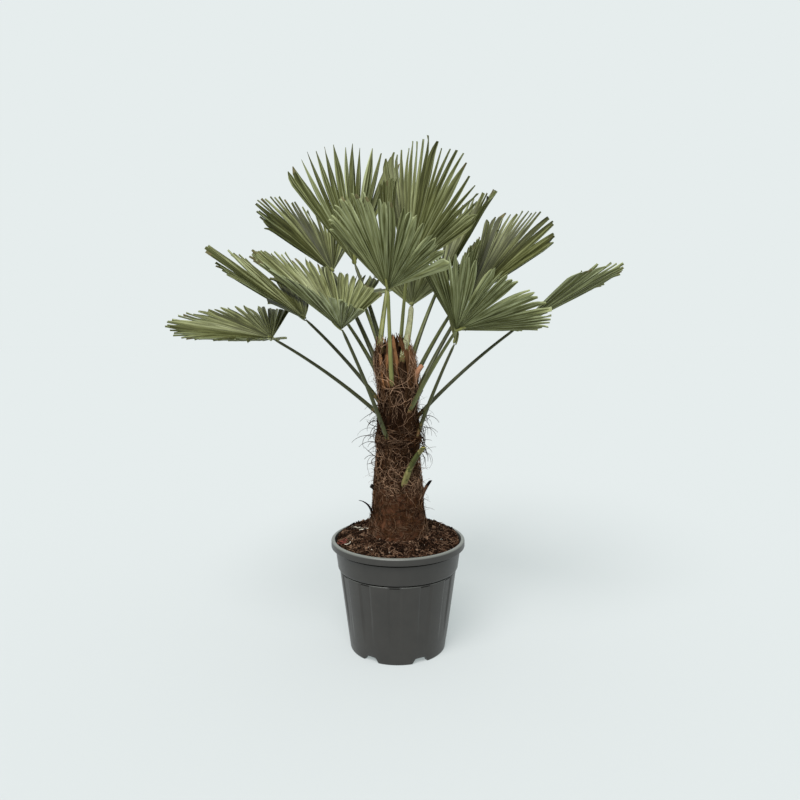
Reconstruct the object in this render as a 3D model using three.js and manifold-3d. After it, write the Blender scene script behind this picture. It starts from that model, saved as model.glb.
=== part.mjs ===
// A Wagner windmill palm in a round nursery pot.
// Millimetres, +Z up. The origin is the centre of the pot's flat underside, and -Y is the front.
// Each piece that rests on another keeps a gap of CLEAR to it.

import * as THREE from 'three';
import { mergeVertices } from 'three/addons/utils/BufferGeometryUtils.js';
import Module from 'manifold-3d';

const wasm = await Module();
wasm.setup();

const CLEAR = 0.3;

// Pot: a 35 litre container, 400 across the rim, with drain notches in its foot.
const POT = {
  rimRadius: 200,
  rimTop: 333,
  rimBottom: 312,
  rimRoll: 10,
  bandBottom: 247,
  bandProud: 4,
  footRadius: 144.5,
  draft: 0.127,
  wall: 3,
  floor: 4,
  centreRadius: 70,
  channelRadius: 116,
  channelHeight: 16,
  notches: 6,
  notchFirst: -63,
  notchWidth: 50,
  notchHeight: 15,
  notchFullness: 0.9,
  sides: 60,
};

// Soil: nearly level at the rim, with a low mound round the trunk, as radius and height.
const SOIL = {
  edgeHeight: 313,
  mound: [[150, 321], [120, 331], [98, 340]],
};

// Trunk: radius at each height, from the flat cut on the soil to the fibre at the crown.
const TRUNK = {
  sides: 30,
  leanX: -16,
  leanFrom: 770,
  leanTo: 950,
  profile: [
    [340.3, 91], [362, 86], [391, 82], [426, 77], [470, 74], [505, 72], [541, 68], [575, 65],
    [609, 62], [622, 64], [636, 67], [650, 62], [687, 58], [721, 55], [748, 55], [773, 57],
    [815, 60], [857, 59], [880, 55], [905, 48], [928, 38], [945, 25], [953, 14],
  ],
};

// Leaf blades: pleated segments that are joined as far as the split and end in free points.
const BLADE = {
  thickness: 4.5,
  segmentAngle: 9.4,
  split: 0.56,
  shoulder: 0.84,
  shoulderWidth: 0.5,
  pleat: 5,
  shoulderPleat: 2.5,
  fullSpread: 103,
  sideShortening: 0.28,
  hubGap: 1,
  marginTurn: 15,
};

// Leaf stalks: flat ovals that taper towards the blade and bend outwards.
const STALK = {
  footWidth: 20,
  footDepth: 13,
  headWidth: 12,
  headDepth: 8,
  tipRadius: 0.9,
  tipLength: 34,
  sides: 8,
  steps: 8,
  bow: 0.07,
  sunk: 12,
};

// Stumps of old stalks: ovals that narrow to a slanting cut.
const STUMP = {
  sides: 8,
  taper: 0.25,
  flatness: 0.7,
};

// One row a leaf. foot: height and bearing where the stalk leaves the trunk.
// hub: where the blade starts. aim: bearing, rise and roll of the middle segment.
// cup: 90 is a flat fan, less is funnel-shaped. reach: length of the middle segment.
const FRONDS = [
  { foot: [700, 195], hub: [-365, -15, 930], aim: [189, 9, -12], cup: 78, reach: 295, spread: 103 },
  { foot: [735, 185], hub: [-277, 45, 986], aim: [176, 38, -4], cup: 82, reach: 346, spread: 75 },
  { foot: [622, 244], hub: [-153, -131, 958], aim: [183, 42, -11], cup: 65, reach: 315, spread: 100 },
  { foot: [832, 160], hub: [-205, 175, 1134], aim: [158, 51, -5], cup: 79, reach: 313, spread: 62 },
  { foot: [880, 130], hub: [-132, 117, 1154], aim: [217, 82, 75], cup: 83, reach: 350, spread: 34 },
  { foot: [780, 251], hub: [-26, -141, 1064], aim: [258, 56, -31], cup: 82, reach: 270, spread: 62 },
  { foot: [905, 60], hub: [27, 34, 1129], aim: [308, 63, 84], cup: 81, reach: 375, spread: 50 },
  { foot: [858, 29], hub: [123, 113, 1080], aim: [7, 62, 6], cup: 59, reach: 336, spread: 38 },
  { foot: [745, 335], hub: [221, 148, 1049], aim: [356, 50, 29], cup: 73, reach: 342, spread: 42 },
  { foot: [708, 306], hub: [162, -112, 955], aim: [323, 18, -30], cup: 60, reach: 265, spread: 103 },
  { foot: [640, 339], hub: [165, -20, 916], aim: [47, 71, -46], cup: 70, reach: 310, spread: 52 },
  { foot: [690, 5], hub: [355, 10, 965], aim: [34, 21, -17], cup: 76, reach: 349, spread: 88 },
  { foot: [850, 282], hub: [41, 124, 1028], aim: [73, 36, -6], cup: 74, reach: 252, spread: 46 },
  { foot: [800, 155], hub: [-165, 120, 985], aim: [116, 35, 0], cup: 68, reach: 285, spread: 50 },
  { foot: [885, 199], hub: [-31, 80, 1086], aim: [274, 85, 107], cup: 83, reach: 312, spread: 14 },
  { foot: [780, 112], hub: [-124, 322, 1058], aim: [114, 10, 0], cup: 80, reach: 290, spread: 55 },
  { foot: [770, 52], hub: [203, 265, 1050], aim: [59, 56, -34], cup: 80, reach: 260, spread: 34 },
];

// Cut stumps of old stalks: height and bearing of the foot, length, rise and thickness.
const STUMPS = [
  { foot: [500, 285], toward: 315, rise: 58, length: 150, radius: 12 },
  { foot: [712, 340], toward: 345, rise: 68, length: 72, radius: 10 },
  { foot: [440, 350], toward: 350, rise: 66, length: 76, radius: 9 },
  { foot: [478, 190], toward: 190, rise: 30, length: 30, radius: 8 },
  { foot: [380, 190], toward: 190, rise: 62, length: 78, radius: 8 },
  { foot: [560, 95], toward: 95, rise: 62, length: 60, radius: 11 },
  { foot: [450, 60], toward: 55, rise: 60, length: 50, radius: 10 },
  { foot: [640, 130], toward: 135, rise: 64, length: 58, radius: 10 },
];

const COLOURS = {
  pot: 0x474745,
  soil: 0x3b2620,
  trunk: 0x4a3026,
  stalk: 0x5f7540,
  blade: 0x6b7850,
  stump: 0x5c4a32,
};

const rad = THREE.MathUtils.degToRad;
const UP = new THREE.Vector3(0, 0, 1);

function bearingVector(bearing, rise = 0) {
  const flat = Math.cos(rad(rise));
  return new THREE.Vector3(
    flat * Math.cos(rad(bearing)),
    flat * Math.sin(rad(bearing)),
    Math.sin(rad(rise)),
  );
}

// A closed geometry from points and triangles, counter-clockwise seen from outside.
function closedGeometry(points, triangles) {
  const geometry = new THREE.BufferGeometry();
  geometry.setAttribute(
    'position',
    new THREE.Float32BufferAttribute(points.flatMap((p) => [p.x, p.y, p.z]), 3),
  );
  geometry.setIndex(triangles.flat());
  return geometry;
}

function solidOf(geometry) {
  const bare = geometry.clone();
  bare.deleteAttribute('normal');
  bare.deleteAttribute('uv');
  const merged = mergeVertices(bare, 1e-4);
  return new wasm.Manifold(new wasm.Mesh({
    numProp: 3,
    vertProperties: Float32Array.from(merged.attributes.position.array),
    triVerts: Uint32Array.from(merged.index.array),
  }));
}

function geometryOf(solid) {
  const mesh = solid.getMesh();
  const geometry = new THREE.BufferGeometry();
  geometry.setAttribute('position', new THREE.BufferAttribute(mesh.vertProperties, 3));
  geometry.setIndex(new THREE.BufferAttribute(mesh.triVerts, 1));
  return geometry;
}

// Rings of equal counts joined into one closed skin, each ring counter-clockwise seen from the end.
function loft(rings) {
  const count = rings[0].length;
  const points = rings.flat();
  const triangles = [];
  for (let r = 0; r + 1 < rings.length; r += 1) {
    for (let i = 0; i < count; i += 1) {
      const a = r * count + i;
      const b = r * count + ((i + 1) % count);
      triangles.push([a, b, b + count], [a, b + count, a + count]);
    }
  }
  const last = (rings.length - 1) * count;
  for (let i = 1; i + 1 < count; i += 1) {
    triangles.push([0, i + 1, i], [last, last + i, last + i + 1]);
  }
  return closedGeometry(points, triangles);
}

// A lathe round +Z from [radius, height] pairs that start and end on the axis.
function latheZ(profile, sides) {
  const points = profile.map(([r, z]) => new THREE.Vector2(r, z));
  return new THREE.LatheGeometry(points, sides).rotateX(Math.PI / 2);
}

function potWallRadius(height) {
  return POT.footRadius + POT.draft * height;
}

function potGeometry() {
  const p = POT;
  const inner = (height) => potWallRadius(height) - p.wall;
  const rimInside = p.rimRadius - p.rimRoll;
  const profile = [
    [0, 0],
    [p.centreRadius, 0],
    [p.centreRadius + p.channelHeight, p.channelHeight],
    [p.channelRadius, p.channelHeight],
    [p.channelRadius + p.channelHeight, 0],
    [p.footRadius - p.floor, 0],
    [potWallRadius(p.floor), p.floor],
    [potWallRadius(p.bandBottom), p.bandBottom],
    [potWallRadius(p.bandBottom) + p.bandProud, p.bandBottom + p.bandProud],
    [potWallRadius(p.rimBottom) + p.bandProud, p.rimBottom],
    [p.rimRadius, p.rimBottom],
    [p.rimRadius, p.rimTop - p.rimRoll / 2],
    [p.rimRadius - p.rimRoll / 3, p.rimTop],
    [rimInside, p.rimTop],
    [inner(p.rimBottom), p.rimBottom],
    [inner(p.bandBottom), p.bandBottom],
    [inner(p.channelHeight + p.floor), p.channelHeight + p.floor],
    [0, p.channelHeight + p.floor],
  ];
  let pot = solidOf(latheZ(profile, p.sides));
  const notchDepth = 2 * (p.footRadius - p.channelRadius);
  for (let i = 0; i < p.notches; i += 1) {
    const arch = new THREE.Shape();
    const half = p.notchWidth / 2;
    arch.moveTo(-half, -1);
    arch.lineTo(half, -1);
    arch.quadraticCurveTo(half * p.notchFullness, p.notchHeight, 0, p.notchHeight);
    arch.quadraticCurveTo(-half * p.notchFullness, p.notchHeight, -half, -1);
    const cutter = new THREE.ExtrudeGeometry(arch, {
      depth: notchDepth,
      bevelEnabled: false,
      curveSegments: 4,
    });
    cutter.rotateX(Math.PI / 2);
    cutter.translate(0, p.channelRadius + notchDepth, 0);
    cutter.rotateZ(rad(p.notchFirst + (i * 360) / p.notches - 90));
    pot = pot.subtract(solidOf(cutter));
  }
  return geometryOf(pot);
}

function soilGeometry() {
  const base = POT.channelHeight + POT.floor + CLEAR;
  const inside = (height) => potWallRadius(height) - POT.wall - CLEAR;
  const top = SOIL.mound[SOIL.mound.length - 1][1];
  return latheZ([
    [0, base],
    [inside(base), base],
    [inside(POT.rimBottom), POT.rimBottom],
    [inside(POT.rimBottom), SOIL.edgeHeight],
    ...SOIL.mound,
    [0, top],
  ], POT.sides);
}

function trunkCentre(height) {
  const t = THREE.MathUtils.smoothstep(height, TRUNK.leanFrom, TRUNK.leanTo);
  return new THREE.Vector3(TRUNK.leanX * t, 0, height);
}

function trunkRadius(height) {
  const { profile } = TRUNK;
  const k = profile.findIndex(([z]) => z >= height);
  if (k <= 0) return profile[k < 0 ? profile.length - 1 : 0][1];
  const [z0, r0] = profile[k - 1];
  const [z1, r1] = profile[k];
  return r0 + ((r1 - r0) * (height - z0)) / (z1 - z0);
}

// The trunk, or the same shape grown by a margin to cut what stands against it.
function trunkGeometry(margin = 0) {
  const { profile, sides } = TRUNK;
  const rings = profile.map(([z, r], k) => {
    const [z0, r0] = profile[Math.max(k - 1, 0)];
    const [z1, r1] = profile[Math.min(k + 1, profile.length - 1)];
    const slant = Math.hypot(z1 - z0, r1 - r0);
    const radius = r + (margin * (z1 - z0)) / slant;
    const centre = trunkCentre(z).addScaledVector(UP, (margin * (r0 - r1)) / slant);
    return Array.from({ length: sides }, (_, i) => (
      centre.clone().addScaledVector(bearingVector((i * 360) / sides), radius)
    ));
  });
  return loft(rings);
}

// A blade in its own frame: X along the middle segment, Z out of its upper side, hub at the origin.
// A margin grows it on both sides.
function bladeGeometry({ reach, cup, spread }, margin = 0) {
  const b = BLADE;
  const segments = Math.max(4, Math.round((2 * spread) / b.segmentAngle));
  const k = rad(cup);
  const axis = new THREE.Vector3(Math.cos(k), 0, Math.sin(k));
  const outward = new THREE.Vector3(Math.sin(k), 0, -Math.cos(k));
  const left = new THREE.Vector3(0, 1, 0);
  const points = [];
  const half = b.thickness / 2 + margin;

  // A point at an angle across the fan, a share of the length there, and a height above the skin.
  function place(angle, share, lift) {
    const turn = rad(angle) / Math.sin(k);
    const spoke = outward.clone().multiplyScalar(Math.cos(turn)).addScaledVector(left, Math.sin(turn));
    const along = axis.clone().multiplyScalar(Math.cos(k)).addScaledVector(spoke, Math.sin(k));
    const above = axis.clone().multiplyScalar(Math.sin(k)).addScaledVector(spoke, -Math.cos(k));
    const length = reach * (1 - b.sideShortening * (Math.abs(angle) / b.fullSpread) ** 2.5);
    return along.multiplyScalar(length * share).addScaledVector(above, lift);
  }

  // Every station is a pair of points: the even one on the upper skin, the next one under it.
  function pair(angle, share, lift) {
    points.push(place(angle, share, lift + half), place(angle, share, lift - half));
    return points.length - 2;
  }

  const hub = axis.clone().multiplyScalar(half / Math.sin(k));
  points.push(hub, hub.clone().negate());
  const step = (2 * spread) / segments;
  const splitLine = Array.from({ length: 2 * segments + 1 }, (_, j) => {
    const lift = j % 2 === 0 ? b.pleat : -b.pleat;
    return pair(-spread + (j * step) / 2, b.split, lift);
  });

  const triangles = [];
  // One triangle on the upper skin and its twin, turned over, on the lower one.
  const both = (p, q, r) => triangles.push([p, q, r], [p + 1, r + 1, q + 1]);
  // A strip between the skins along an edge that the upper skin passes from q to p.
  const wall = (p, q) => triangles.push([p, q, q + 1], [p, q + 1, p + 1]);

  for (let j = 0; j < 2 * segments; j += 1) {
    both(0, splitLine[j], splitLine[j + 1]);
  }
  wall(splitLine[0], 0);
  wall(0, splitLine[2 * segments]);

  for (let i = 0; i < segments; i += 1) {
    const middle = -spread + (i + 0.5) * step;
    const side = (b.shoulderWidth * step) / 2;
    const [s0, s1, s2] = splitLine.slice(2 * i, 2 * i + 3);
    const m0 = pair(middle - side, b.shoulder, b.shoulderPleat);
    const m1 = pair(middle, b.shoulder, -b.shoulderPleat);
    const m2 = pair(middle + side, b.shoulder, b.shoulderPleat);
    const tip = points.push(place(middle, 1, 0)) - 1;
    both(s0, m0, m1);
    both(s0, m1, s1);
    both(s1, m1, m2);
    both(s1, m2, s2);
    triangles.push([m0, tip, m1], [m1, tip, m2], [m0 + 1, m1 + 1, tip], [m1 + 1, m2 + 1, tip]);
    wall(m0, s0);
    wall(s2, m2);
    triangles.push([tip, m0, m0 + 1], [m2, tip, m2 + 1]);
  }
  return closedGeometry(points, triangles);
}

// The blade's place: along the middle segment, to the left, out of the upper side, and its hub.
function bladeMatrix({ hub, aim: [bearing, rise, roll] }) {
  const along = bearingVector(bearing, rise);
  const level = bearingVector(bearing + 90);
  const above = along.clone().cross(level);
  const left = level.clone().multiplyScalar(Math.cos(rad(roll)));
  left.addScaledVector(above, Math.sin(rad(roll)));
  const matrix = new THREE.Matrix4().makeBasis(along, left, along.clone().cross(left));
  return matrix.setPosition(...hub);
}

// The blade grown by CLEAR and turned a little each way, with a slim ball round its hub's edge.
function bladeCutter(frond) {
  const place = bladeMatrix(frond);
  const k = rad(frond.cup);
  const axis = new THREE.Vector3(Math.cos(k), 0, Math.sin(k));
  const gap = BLADE.hubGap;
  const ball = new THREE.IcosahedronGeometry(1, 1)
    .scale(gap, gap, BLADE.thickness / 2 / Math.sin(k) + gap)
    .rotateY(Math.PI / 2 - k)
    .applyMatrix4(place);
  return [-BLADE.marginTurn, 0, BLADE.marginTurn].reduce((cutter, turn) => {
    const turned = bladeGeometry(frond, CLEAR)
      .applyMatrix4(new THREE.Matrix4().makeRotationAxis(axis, rad(turn)))
      .applyMatrix4(place);
    return cutter.add(solidOf(turned));
  }, solidOf(ball));
}

// A tapering stalk from inside the trunk's skin to the hub, cut clear of the trunk and the blade.
function stalkGeometry(frond, trunkCutter) {
  const s = STALK;
  const [height, bearing] = frond.foot;
  const out = bearingVector(bearing);
  const foot = trunkCentre(height).addScaledVector(out, trunkRadius(height) - s.sunk);
  const hub = new THREE.Vector3(...frond.hub);
  const span = hub.clone().sub(foot);
  const length = span.length();
  const straight = span.clone().normalize();
  const lift = UP.clone().addScaledVector(straight, -UP.dot(straight));
  const bend = foot.clone().addScaledVector(span, 0.5).addScaledVector(lift, s.bow * length);
  const curve = new THREE.QuadraticBezierCurve3(foot, bend, hub);
  const side = UP.clone().cross(straight).normalize();
  const ring = (t, width, depth) => {
    const centre = curve.getPoint(t);
    const normal = curve.getTangent(t).cross(side);
    return Array.from({ length: s.sides }, (_, i) => {
      const a = (i * 2 * Math.PI) / s.sides;
      return centre.clone()
        .addScaledVector(side, (width / 2) * Math.cos(a))
        .addScaledVector(normal, (depth / 2) * Math.sin(a));
    });
  };
  const neck = 1 - s.tipLength / length;
  const rings = Array.from({ length: s.steps + 1 }, (_, i) => {
    const t = (neck * i) / s.steps;
    const thin = Math.sqrt(i / s.steps);
    return ring(
      t,
      THREE.MathUtils.lerp(s.footWidth, s.headWidth, thin),
      THREE.MathUtils.lerp(s.footDepth, s.headDepth, thin),
    );
  });
  rings.push(ring(1, 2 * s.tipRadius, 2 * s.tipRadius));
  return geometryOf(solidOf(loft(rings)).subtract(trunkCutter).subtract(bladeCutter(frond)));
}

// A stump: a short stalk with a slanting cut, cut clear of the trunk.
function stumpGeometry({ foot: [height, bearing], toward, rise, length, radius }, trunkCutter) {
  const { sides, taper, flatness } = STUMP;
  const out = bearingVector(bearing);
  const foot = trunkCentre(height).addScaledVector(out, trunkRadius(height) - radius);
  const direction = bearingVector(toward, rise);
  const side = UP.clone().cross(direction).normalize();
  const normal = direction.clone().cross(side);
  const rings = [0, 0.5, 1].map((share) => Array.from({ length: sides }, (_, i) => {
    const a = (i * 2 * Math.PI) / sides;
    const r = radius * (1 - taper * share);
    const slant = share === 1 ? r * Math.sin(a) : 0;
    return foot.clone()
      .addScaledVector(direction, length * share + slant)
      .addScaledVector(side, r * Math.cos(a))
      .addScaledVector(normal, flatness * r * Math.sin(a));
  }));
  return geometryOf(solidOf(loft(rings)).subtract(trunkCutter));
}

const palm = new THREE.Group();

function addPiece(name, geometry, colour, roughness) {
  const material = new THREE.MeshStandardMaterial({ color: colour, roughness, metalness: 0 });
  const mesh = new THREE.Mesh(geometry, material);
  mesh.name = name;
  palm.add(mesh);
  return mesh;
}

const two = (n) => String(n).padStart(2, '0');
const trunkCutter = solidOf(trunkGeometry(CLEAR));

addPiece('pot', potGeometry(), COLOURS.pot, 0.55);
addPiece('soil', soilGeometry(), COLOURS.soil, 0.95);
addPiece('trunk', trunkGeometry(), COLOURS.trunk, 0.9);

FRONDS.forEach((frond, i) => {
  const number = two(i + 1);
  addPiece(`stalk_${number}`, stalkGeometry(frond, trunkCutter), COLOURS.stalk, 0.5);
  const blade = addPiece(`fan_${number}`, bladeGeometry(frond), COLOURS.blade, 0.6);
  blade.applyMatrix4(bladeMatrix(frond));
});

STUMPS.forEach((stump, i) => {
  addPiece(`stump_${two(i + 1)}`, stumpGeometry(stump, trunkCutter), COLOURS.stump, 0.85);
});

export default palm;
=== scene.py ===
"""Looks of a Wagner windmill palm in a grower pot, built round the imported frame.

Sizes inside the functions are millimetres, and each mesh is turned to metres when it is made.
+Z is up and -Y is the front. Every piece rides on the one body, root.
"""

import math

import bmesh
import bpy
import numpy as np
from mathutils import Matrix, Vector, noise


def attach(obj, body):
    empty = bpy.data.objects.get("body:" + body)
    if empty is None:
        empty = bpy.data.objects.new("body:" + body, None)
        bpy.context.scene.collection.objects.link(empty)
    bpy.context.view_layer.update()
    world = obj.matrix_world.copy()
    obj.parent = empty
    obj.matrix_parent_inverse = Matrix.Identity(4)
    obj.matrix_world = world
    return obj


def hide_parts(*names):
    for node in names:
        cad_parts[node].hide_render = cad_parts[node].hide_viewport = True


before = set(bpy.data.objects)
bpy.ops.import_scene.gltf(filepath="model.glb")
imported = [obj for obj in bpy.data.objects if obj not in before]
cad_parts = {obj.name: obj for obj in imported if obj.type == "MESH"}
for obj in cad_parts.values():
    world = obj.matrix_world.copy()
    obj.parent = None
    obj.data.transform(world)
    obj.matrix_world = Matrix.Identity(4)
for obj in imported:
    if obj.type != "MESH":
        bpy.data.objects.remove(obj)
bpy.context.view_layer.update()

bl_info = {
    "name": "Potted windmill palm",
    "version": (1, 0, 0),
    "blender": (4, 5, 0),
    "location": "3D View > Sidebar > Palm",
    "description": "Builds the leaves, trunk, soil and pot of a small windmill palm",
    "category": "Add Mesh",
}

MM = 0.001

# One seed for each thing that is drawn at random.
SEEDS = {"leaves": 11, "leaf_bases": 5, "fibre": 23, "tufts": 31, "soil": 41}

# Pot: the same driving sizes as the solid that it replaces.
POT_RIM_RADIUS = 200
POT_RIM_TOP = 333
POT_RIM_BOTTOM = 312
POT_BAND_BOTTOM = 247
POT_BAND_PROUD = 4
POT_FOOT_RADIUS = 144.5
POT_DRAFT = 0.127
POT_WALL = 3
POT_FLOOR_TOP = 20
POT_NOTCHES = 6
POT_NOTCH_FIRST = -63
POT_NOTCH_WIDTH = 50
POT_NOTCH_HEIGHT = 15
POT_TURNED_STEPS = 360
# Above each notch the wall is pressed in: how deep, how far to each side, and up to what height.
DIMPLE_DEPTH, DIMPLE_ANGLE, DIMPLE_TOP = 5.0, 7.5, 62
# Flutes: places for them round the wall, those left plain, and the height where they fade in.
FLUTE_PLACES = 12
FLUTES_LEFT_OUT = (2, 8)
FLUTE_HALF_ANGLE = 7.2
FLUTE_FOOT = 46

# Soil: height of the mound against the radius, how much higher it is heaped at the back, and
# its gap to the pot. Chips and coir lie between two radii, and no part of them passes a limit.
SOIL_MOUND = [(0, 340), (98, 340), (120, 331), (150, 321), (181, 313)]
SOIL_HEAP = 22
SOIL_GAP = 0.6
SOIL_TURNED_STEPS = 150
LITTER_INNER = 84
CHIPS_OUTER, CHIPS_LIMIT = 183, 184.5
COIR_OUTER, COIR_LIMIT = 180, 182

# Trunk: height and radius of its skin, and of the ring of sheaths round its crown. The ring is
# open round one bearing. The upper part leans between two heights. The felt's core lies inside
# the skin, and inside the ring it slopes in from CORE_SHRINKS up to CORE_TOP.
TRUNK_PROFILE = [
    (340.3, 91), (362, 86), (391, 82), (426, 77), (470, 74), (505, 72), (541, 68), (575, 65),
    (609, 62), (622, 64), (636, 67), (650, 62), (687, 58), (721, 55), (748, 55), (773, 57),
    (815, 60), (857, 59), (880, 55), (905, 48), (928, 38), (945, 25), (953, 14),
]
SHEATH_PROFILE = [(780, 57), (860, 57), (905, 50), (925, 44), (960, 36)]
CROWN_OPENING = 277
TRUNK_LEAN = -16
TRUNK_LEAN_FROM = 770
TRUNK_LEAN_TO = 950
SHEATHS_TOP = 974
CORE_INSIDE, CORE_SLOPE = 4, 0.45
CORE_SHRINKS, CORE_TOP = 840, 888
# The heights where the felt changes: from worn to tangled, to bare, to the dark of the crown.
FELT_BANDS = (490, 640, 722)
# Fibre stays between these heights, and a strand that climbs turns back somewhere below the top.
FIBRE_LOW, FIBRE_HIGH = 342, 962
FIBRE_TURNS = (880, 945)
STRAND_SIDES = 3

# Leaf blade: where the fold is highest, how much a segment at FULL_SPREAD degrees to the side
# is shortened, and the share of segments with a dry tip.
FOLD_FULL = 0.6
FULL_SPREAD = 103
SIDE_SHORTENING = 0.28
DRY_TIPS = 0.12

# One row a leaf: foot (height, bearing), hub, aim (bearing, rise, roll), cup, reach and spread.
# They are the solids' sizes, but leaf 13's stalk starts 4 degrees further round.
FRONDS = [
    ((700, 195), (-365, -15, 930), (189, 9, -12), 78, 295, 103),
    ((735, 185), (-277, 45, 986), (176, 38, -4), 82, 346, 75),
    ((622, 244), (-153, -131, 958), (183, 42, -11), 65, 315, 100),
    ((832, 160), (-205, 175, 1134), (158, 51, -5), 79, 313, 62),
    ((880, 130), (-132, 117, 1154), (217, 82, 75), 83, 350, 34),
    ((780, 251), (-26, -141, 1064), (258, 56, -31), 82, 270, 62),
    ((905, 60), (27, 34, 1129), (308, 63, 84), 81, 375, 50),
    ((858, 29), (123, 113, 1080), (7, 62, 6), 59, 336, 38),
    ((745, 335), (221, 148, 1049), (356, 50, 29), 73, 342, 42),
    ((708, 306), (162, -112, 955), (323, 18, -30), 60, 265, 103),
    ((640, 339), (165, -20, 916), (47, 71, -46), 70, 310, 52),
    ((690, 5), (355, 10, 965), (34, 21, -17), 76, 349, 88),
    ((850, 286), (41, 124, 1028), (73, 36, -6), 74, 252, 46),
    ((800, 155), (-165, 120, 985), (116, 35, 0), 68, 285, 50),
    ((885, 199), (-31, 80, 1086), (274, 85, 107), 83, 312, 14),
    ((780, 112), (-124, 322, 1058), (114, 10, 0), 80, 290, 55),
    ((770, 52), (203, 265, 1050), (59, 56, -34), 80, 260, 34),
]

# Stalks: how far the middle starts inside the trunk's skin, how high it arches against its
# length, its gap to the hub, its width and depth at the blade and what both gain towards the
# trunk, and how far from its foot it is dead or withered. A row for some of them: how much wider
# it is, how far it bows out of the crown, and how much its foot widens.
STALK_SUNK = -7.0
STALK_ARCH = 0.07
STALK_GAP = 4
STALK_WIDTH, STALK_WIDER = 12, 7
STALK_DEPTH, STALK_DEEPER = 8, 5
STALK_RINGS, STALK_SIDES = 60, 14
STALK_DEAD, STALK_WITHERED = 18, 32
STALK_USUAL = (1.0, 0.0, 10.0)
STALK_OTHERS = {
    13: (1.35, 45.0, -12.0), 6: (0.78, 8.0, 0.0), 3: (0.9, 0.0, 2.0), 10: (0.9, 0.0, 2.0),
}

# Stage: share of the light that the floor gives back (the rest is its own glow), the floor's
# radius, how wide the key light is, and the width of the camera's sensor.
FLOOR_WHITE = 0.3
FLOOR_RADIUS = 30000
KEY_SPREAD = math.radians(40)
SENSOR_WIDTH = 36

# One row a leaf: how light it is (0 darkest, 3 lightest), how blunt its tips are, and how far its
# segments gather into bunches. Leaves 2 and 4 are darkest partly as painted shade, for the shade of
# the leaves above them.
LEAF_LOOKS = [
    (1, 0.6, 0.1), (0, 0.3, 1.0), (3, 0.8, 0.15), (0, 0.0, 0.1), (0, 0.1, 0.1), (3, 0.7, 0.2),
    (3, 0.1, 0.05), (1, 0.2, 0.1), (1, 0.35, 0.1), (3, 0.6, 0.3), (2, 0.7, 0.3), (2, 0.5, 0.1),
    (3, 0.5, 0.1), (1, 0.1, 0.4), (1, 0.1, 0.1), (1, 0.3, 0.2), (0, 0.0, 0.3),
]

# Cut stalks: foot (height, bearing), bearing it points to, rise, length, radius and kind.
STUMPS = [
    ((500, 285), 315, 58, 150, 12, "green"),
    ((712, 340), 345, 68, 72, 10, "dry"),
    ((440, 350), 350, 66, 76, 9, "dry"),
    ((476, 190), 190, 45, 25, 10, "black"),
    ((384, 190), 190, 62, 78, 8, "blade"),
    ((560, 95), 95, 62, 60, 11, "dry"),
    ((450, 60), 55, 60, 50, 10, "dry"),
    ((640, 130), 135, 64, 58, 10, "dry"),
]


def linear(hex_colour):
    """An sRGB hex colour as linear red, green and blue."""
    parts = [(hex_colour >> shift & 255) / 255 for shift in (16, 8, 0)]
    return tuple(c / 12.92 if c <= 0.04045 else ((c + 0.055) / 1.055) ** 2.4 for c in parts)


def colour_property(name, description, hex_colour):
    """A colour property with an sRGB hex default."""
    return bpy.props.FloatVectorProperty(
        name=name, description=description, default=linear(hex_colour), size=3,
        min=0, max=1, subtype="COLOR",
    )


def length_property(name, description, millimetres):
    """A length property whose default is given in millimetres."""
    return bpy.props.FloatProperty(
        name=name, description=description, default=millimetres * MM, min=0, unit="LENGTH",
    )


def count_property(name, description, number):
    """A property that holds a number of things."""
    return bpy.props.IntProperty(name=name, description=description, default=number, min=0)


class PalmLeafSettings(bpy.types.PropertyGroup):
    """Sizes and colours of the leaves."""

    segment_angle: bpy.props.FloatProperty(
        name="Segment angle", description="Angle that one pleated segment takes at the hub",
        default=math.radians(4.7), min=0.02, subtype="ANGLE",
    )
    thickness: length_property("Thickness", "Thickness of a segment", 0.9)
    rib: length_property("Rib", "How far the midrib stands out below", 1.1)
    pleat: length_property("Pleat", "Height of a fold at the split, up and down", 3.9)
    top: colour_property("Upper side", "Colour of the upper side", 0x6A6D42)
    under: colour_property("Underside", "Colour of the underside", 0x6C7044)
    ribs: colour_property("Midribs", "Colour of the midribs", 0x7E825A)
    tips: colour_property("Dry tips", "Colour of the dry tips", 0x6A6446)
    stalk: colour_property("Stalks", "Colour of the leaf stalks", 0x60643A)


class PalmTrunkSettings(bpy.types.PropertyGroup):
    """Sizes and colours of the trunk and its fibre."""

    strands: count_property("Strands", "Number of dark fibre strands on the trunk", 3600)
    pale_strands: count_property("Pale strands", "Number of pale strands on the trunk", 800)
    hairs: count_property("Loose hairs", "Number of fibres that stand off the trunk", 300)
    strand_radius: length_property("Strand radius", "Radius of a fibre strand", 0.8)
    bark: colour_property("Fibre felt", "Colour of the matted fibre", 0x352116)
    dark: colour_property("Dark strands", "Colour of the dark strands", 0x2B1A0D)
    pale: colour_property("Pale strands", "Colour of the pale strands", 0x8A6E58)
    boots: colour_property("Leaf bases", "Colour of the old leaf bases", 0x6C4B31)


class PalmPotSettings(bpy.types.PropertyGroup):
    """Sizes and colours of the pot and the soil."""

    flute_depth: length_property("Flute depth", "Depth of the wall's upright flutes", 3.5)
    chips: count_property("Bark chips", "Number of bark chips on the soil", 5200)
    pot: colour_property("Pot", "Colour of the moulded pot", 0x2C2A27)
    soil: colour_property("Soil", "Colour of the potting mix", 0x150D06)
    chip: colour_property("Chips", "Colour of the bark chips", 0x3E2A1D)


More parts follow.
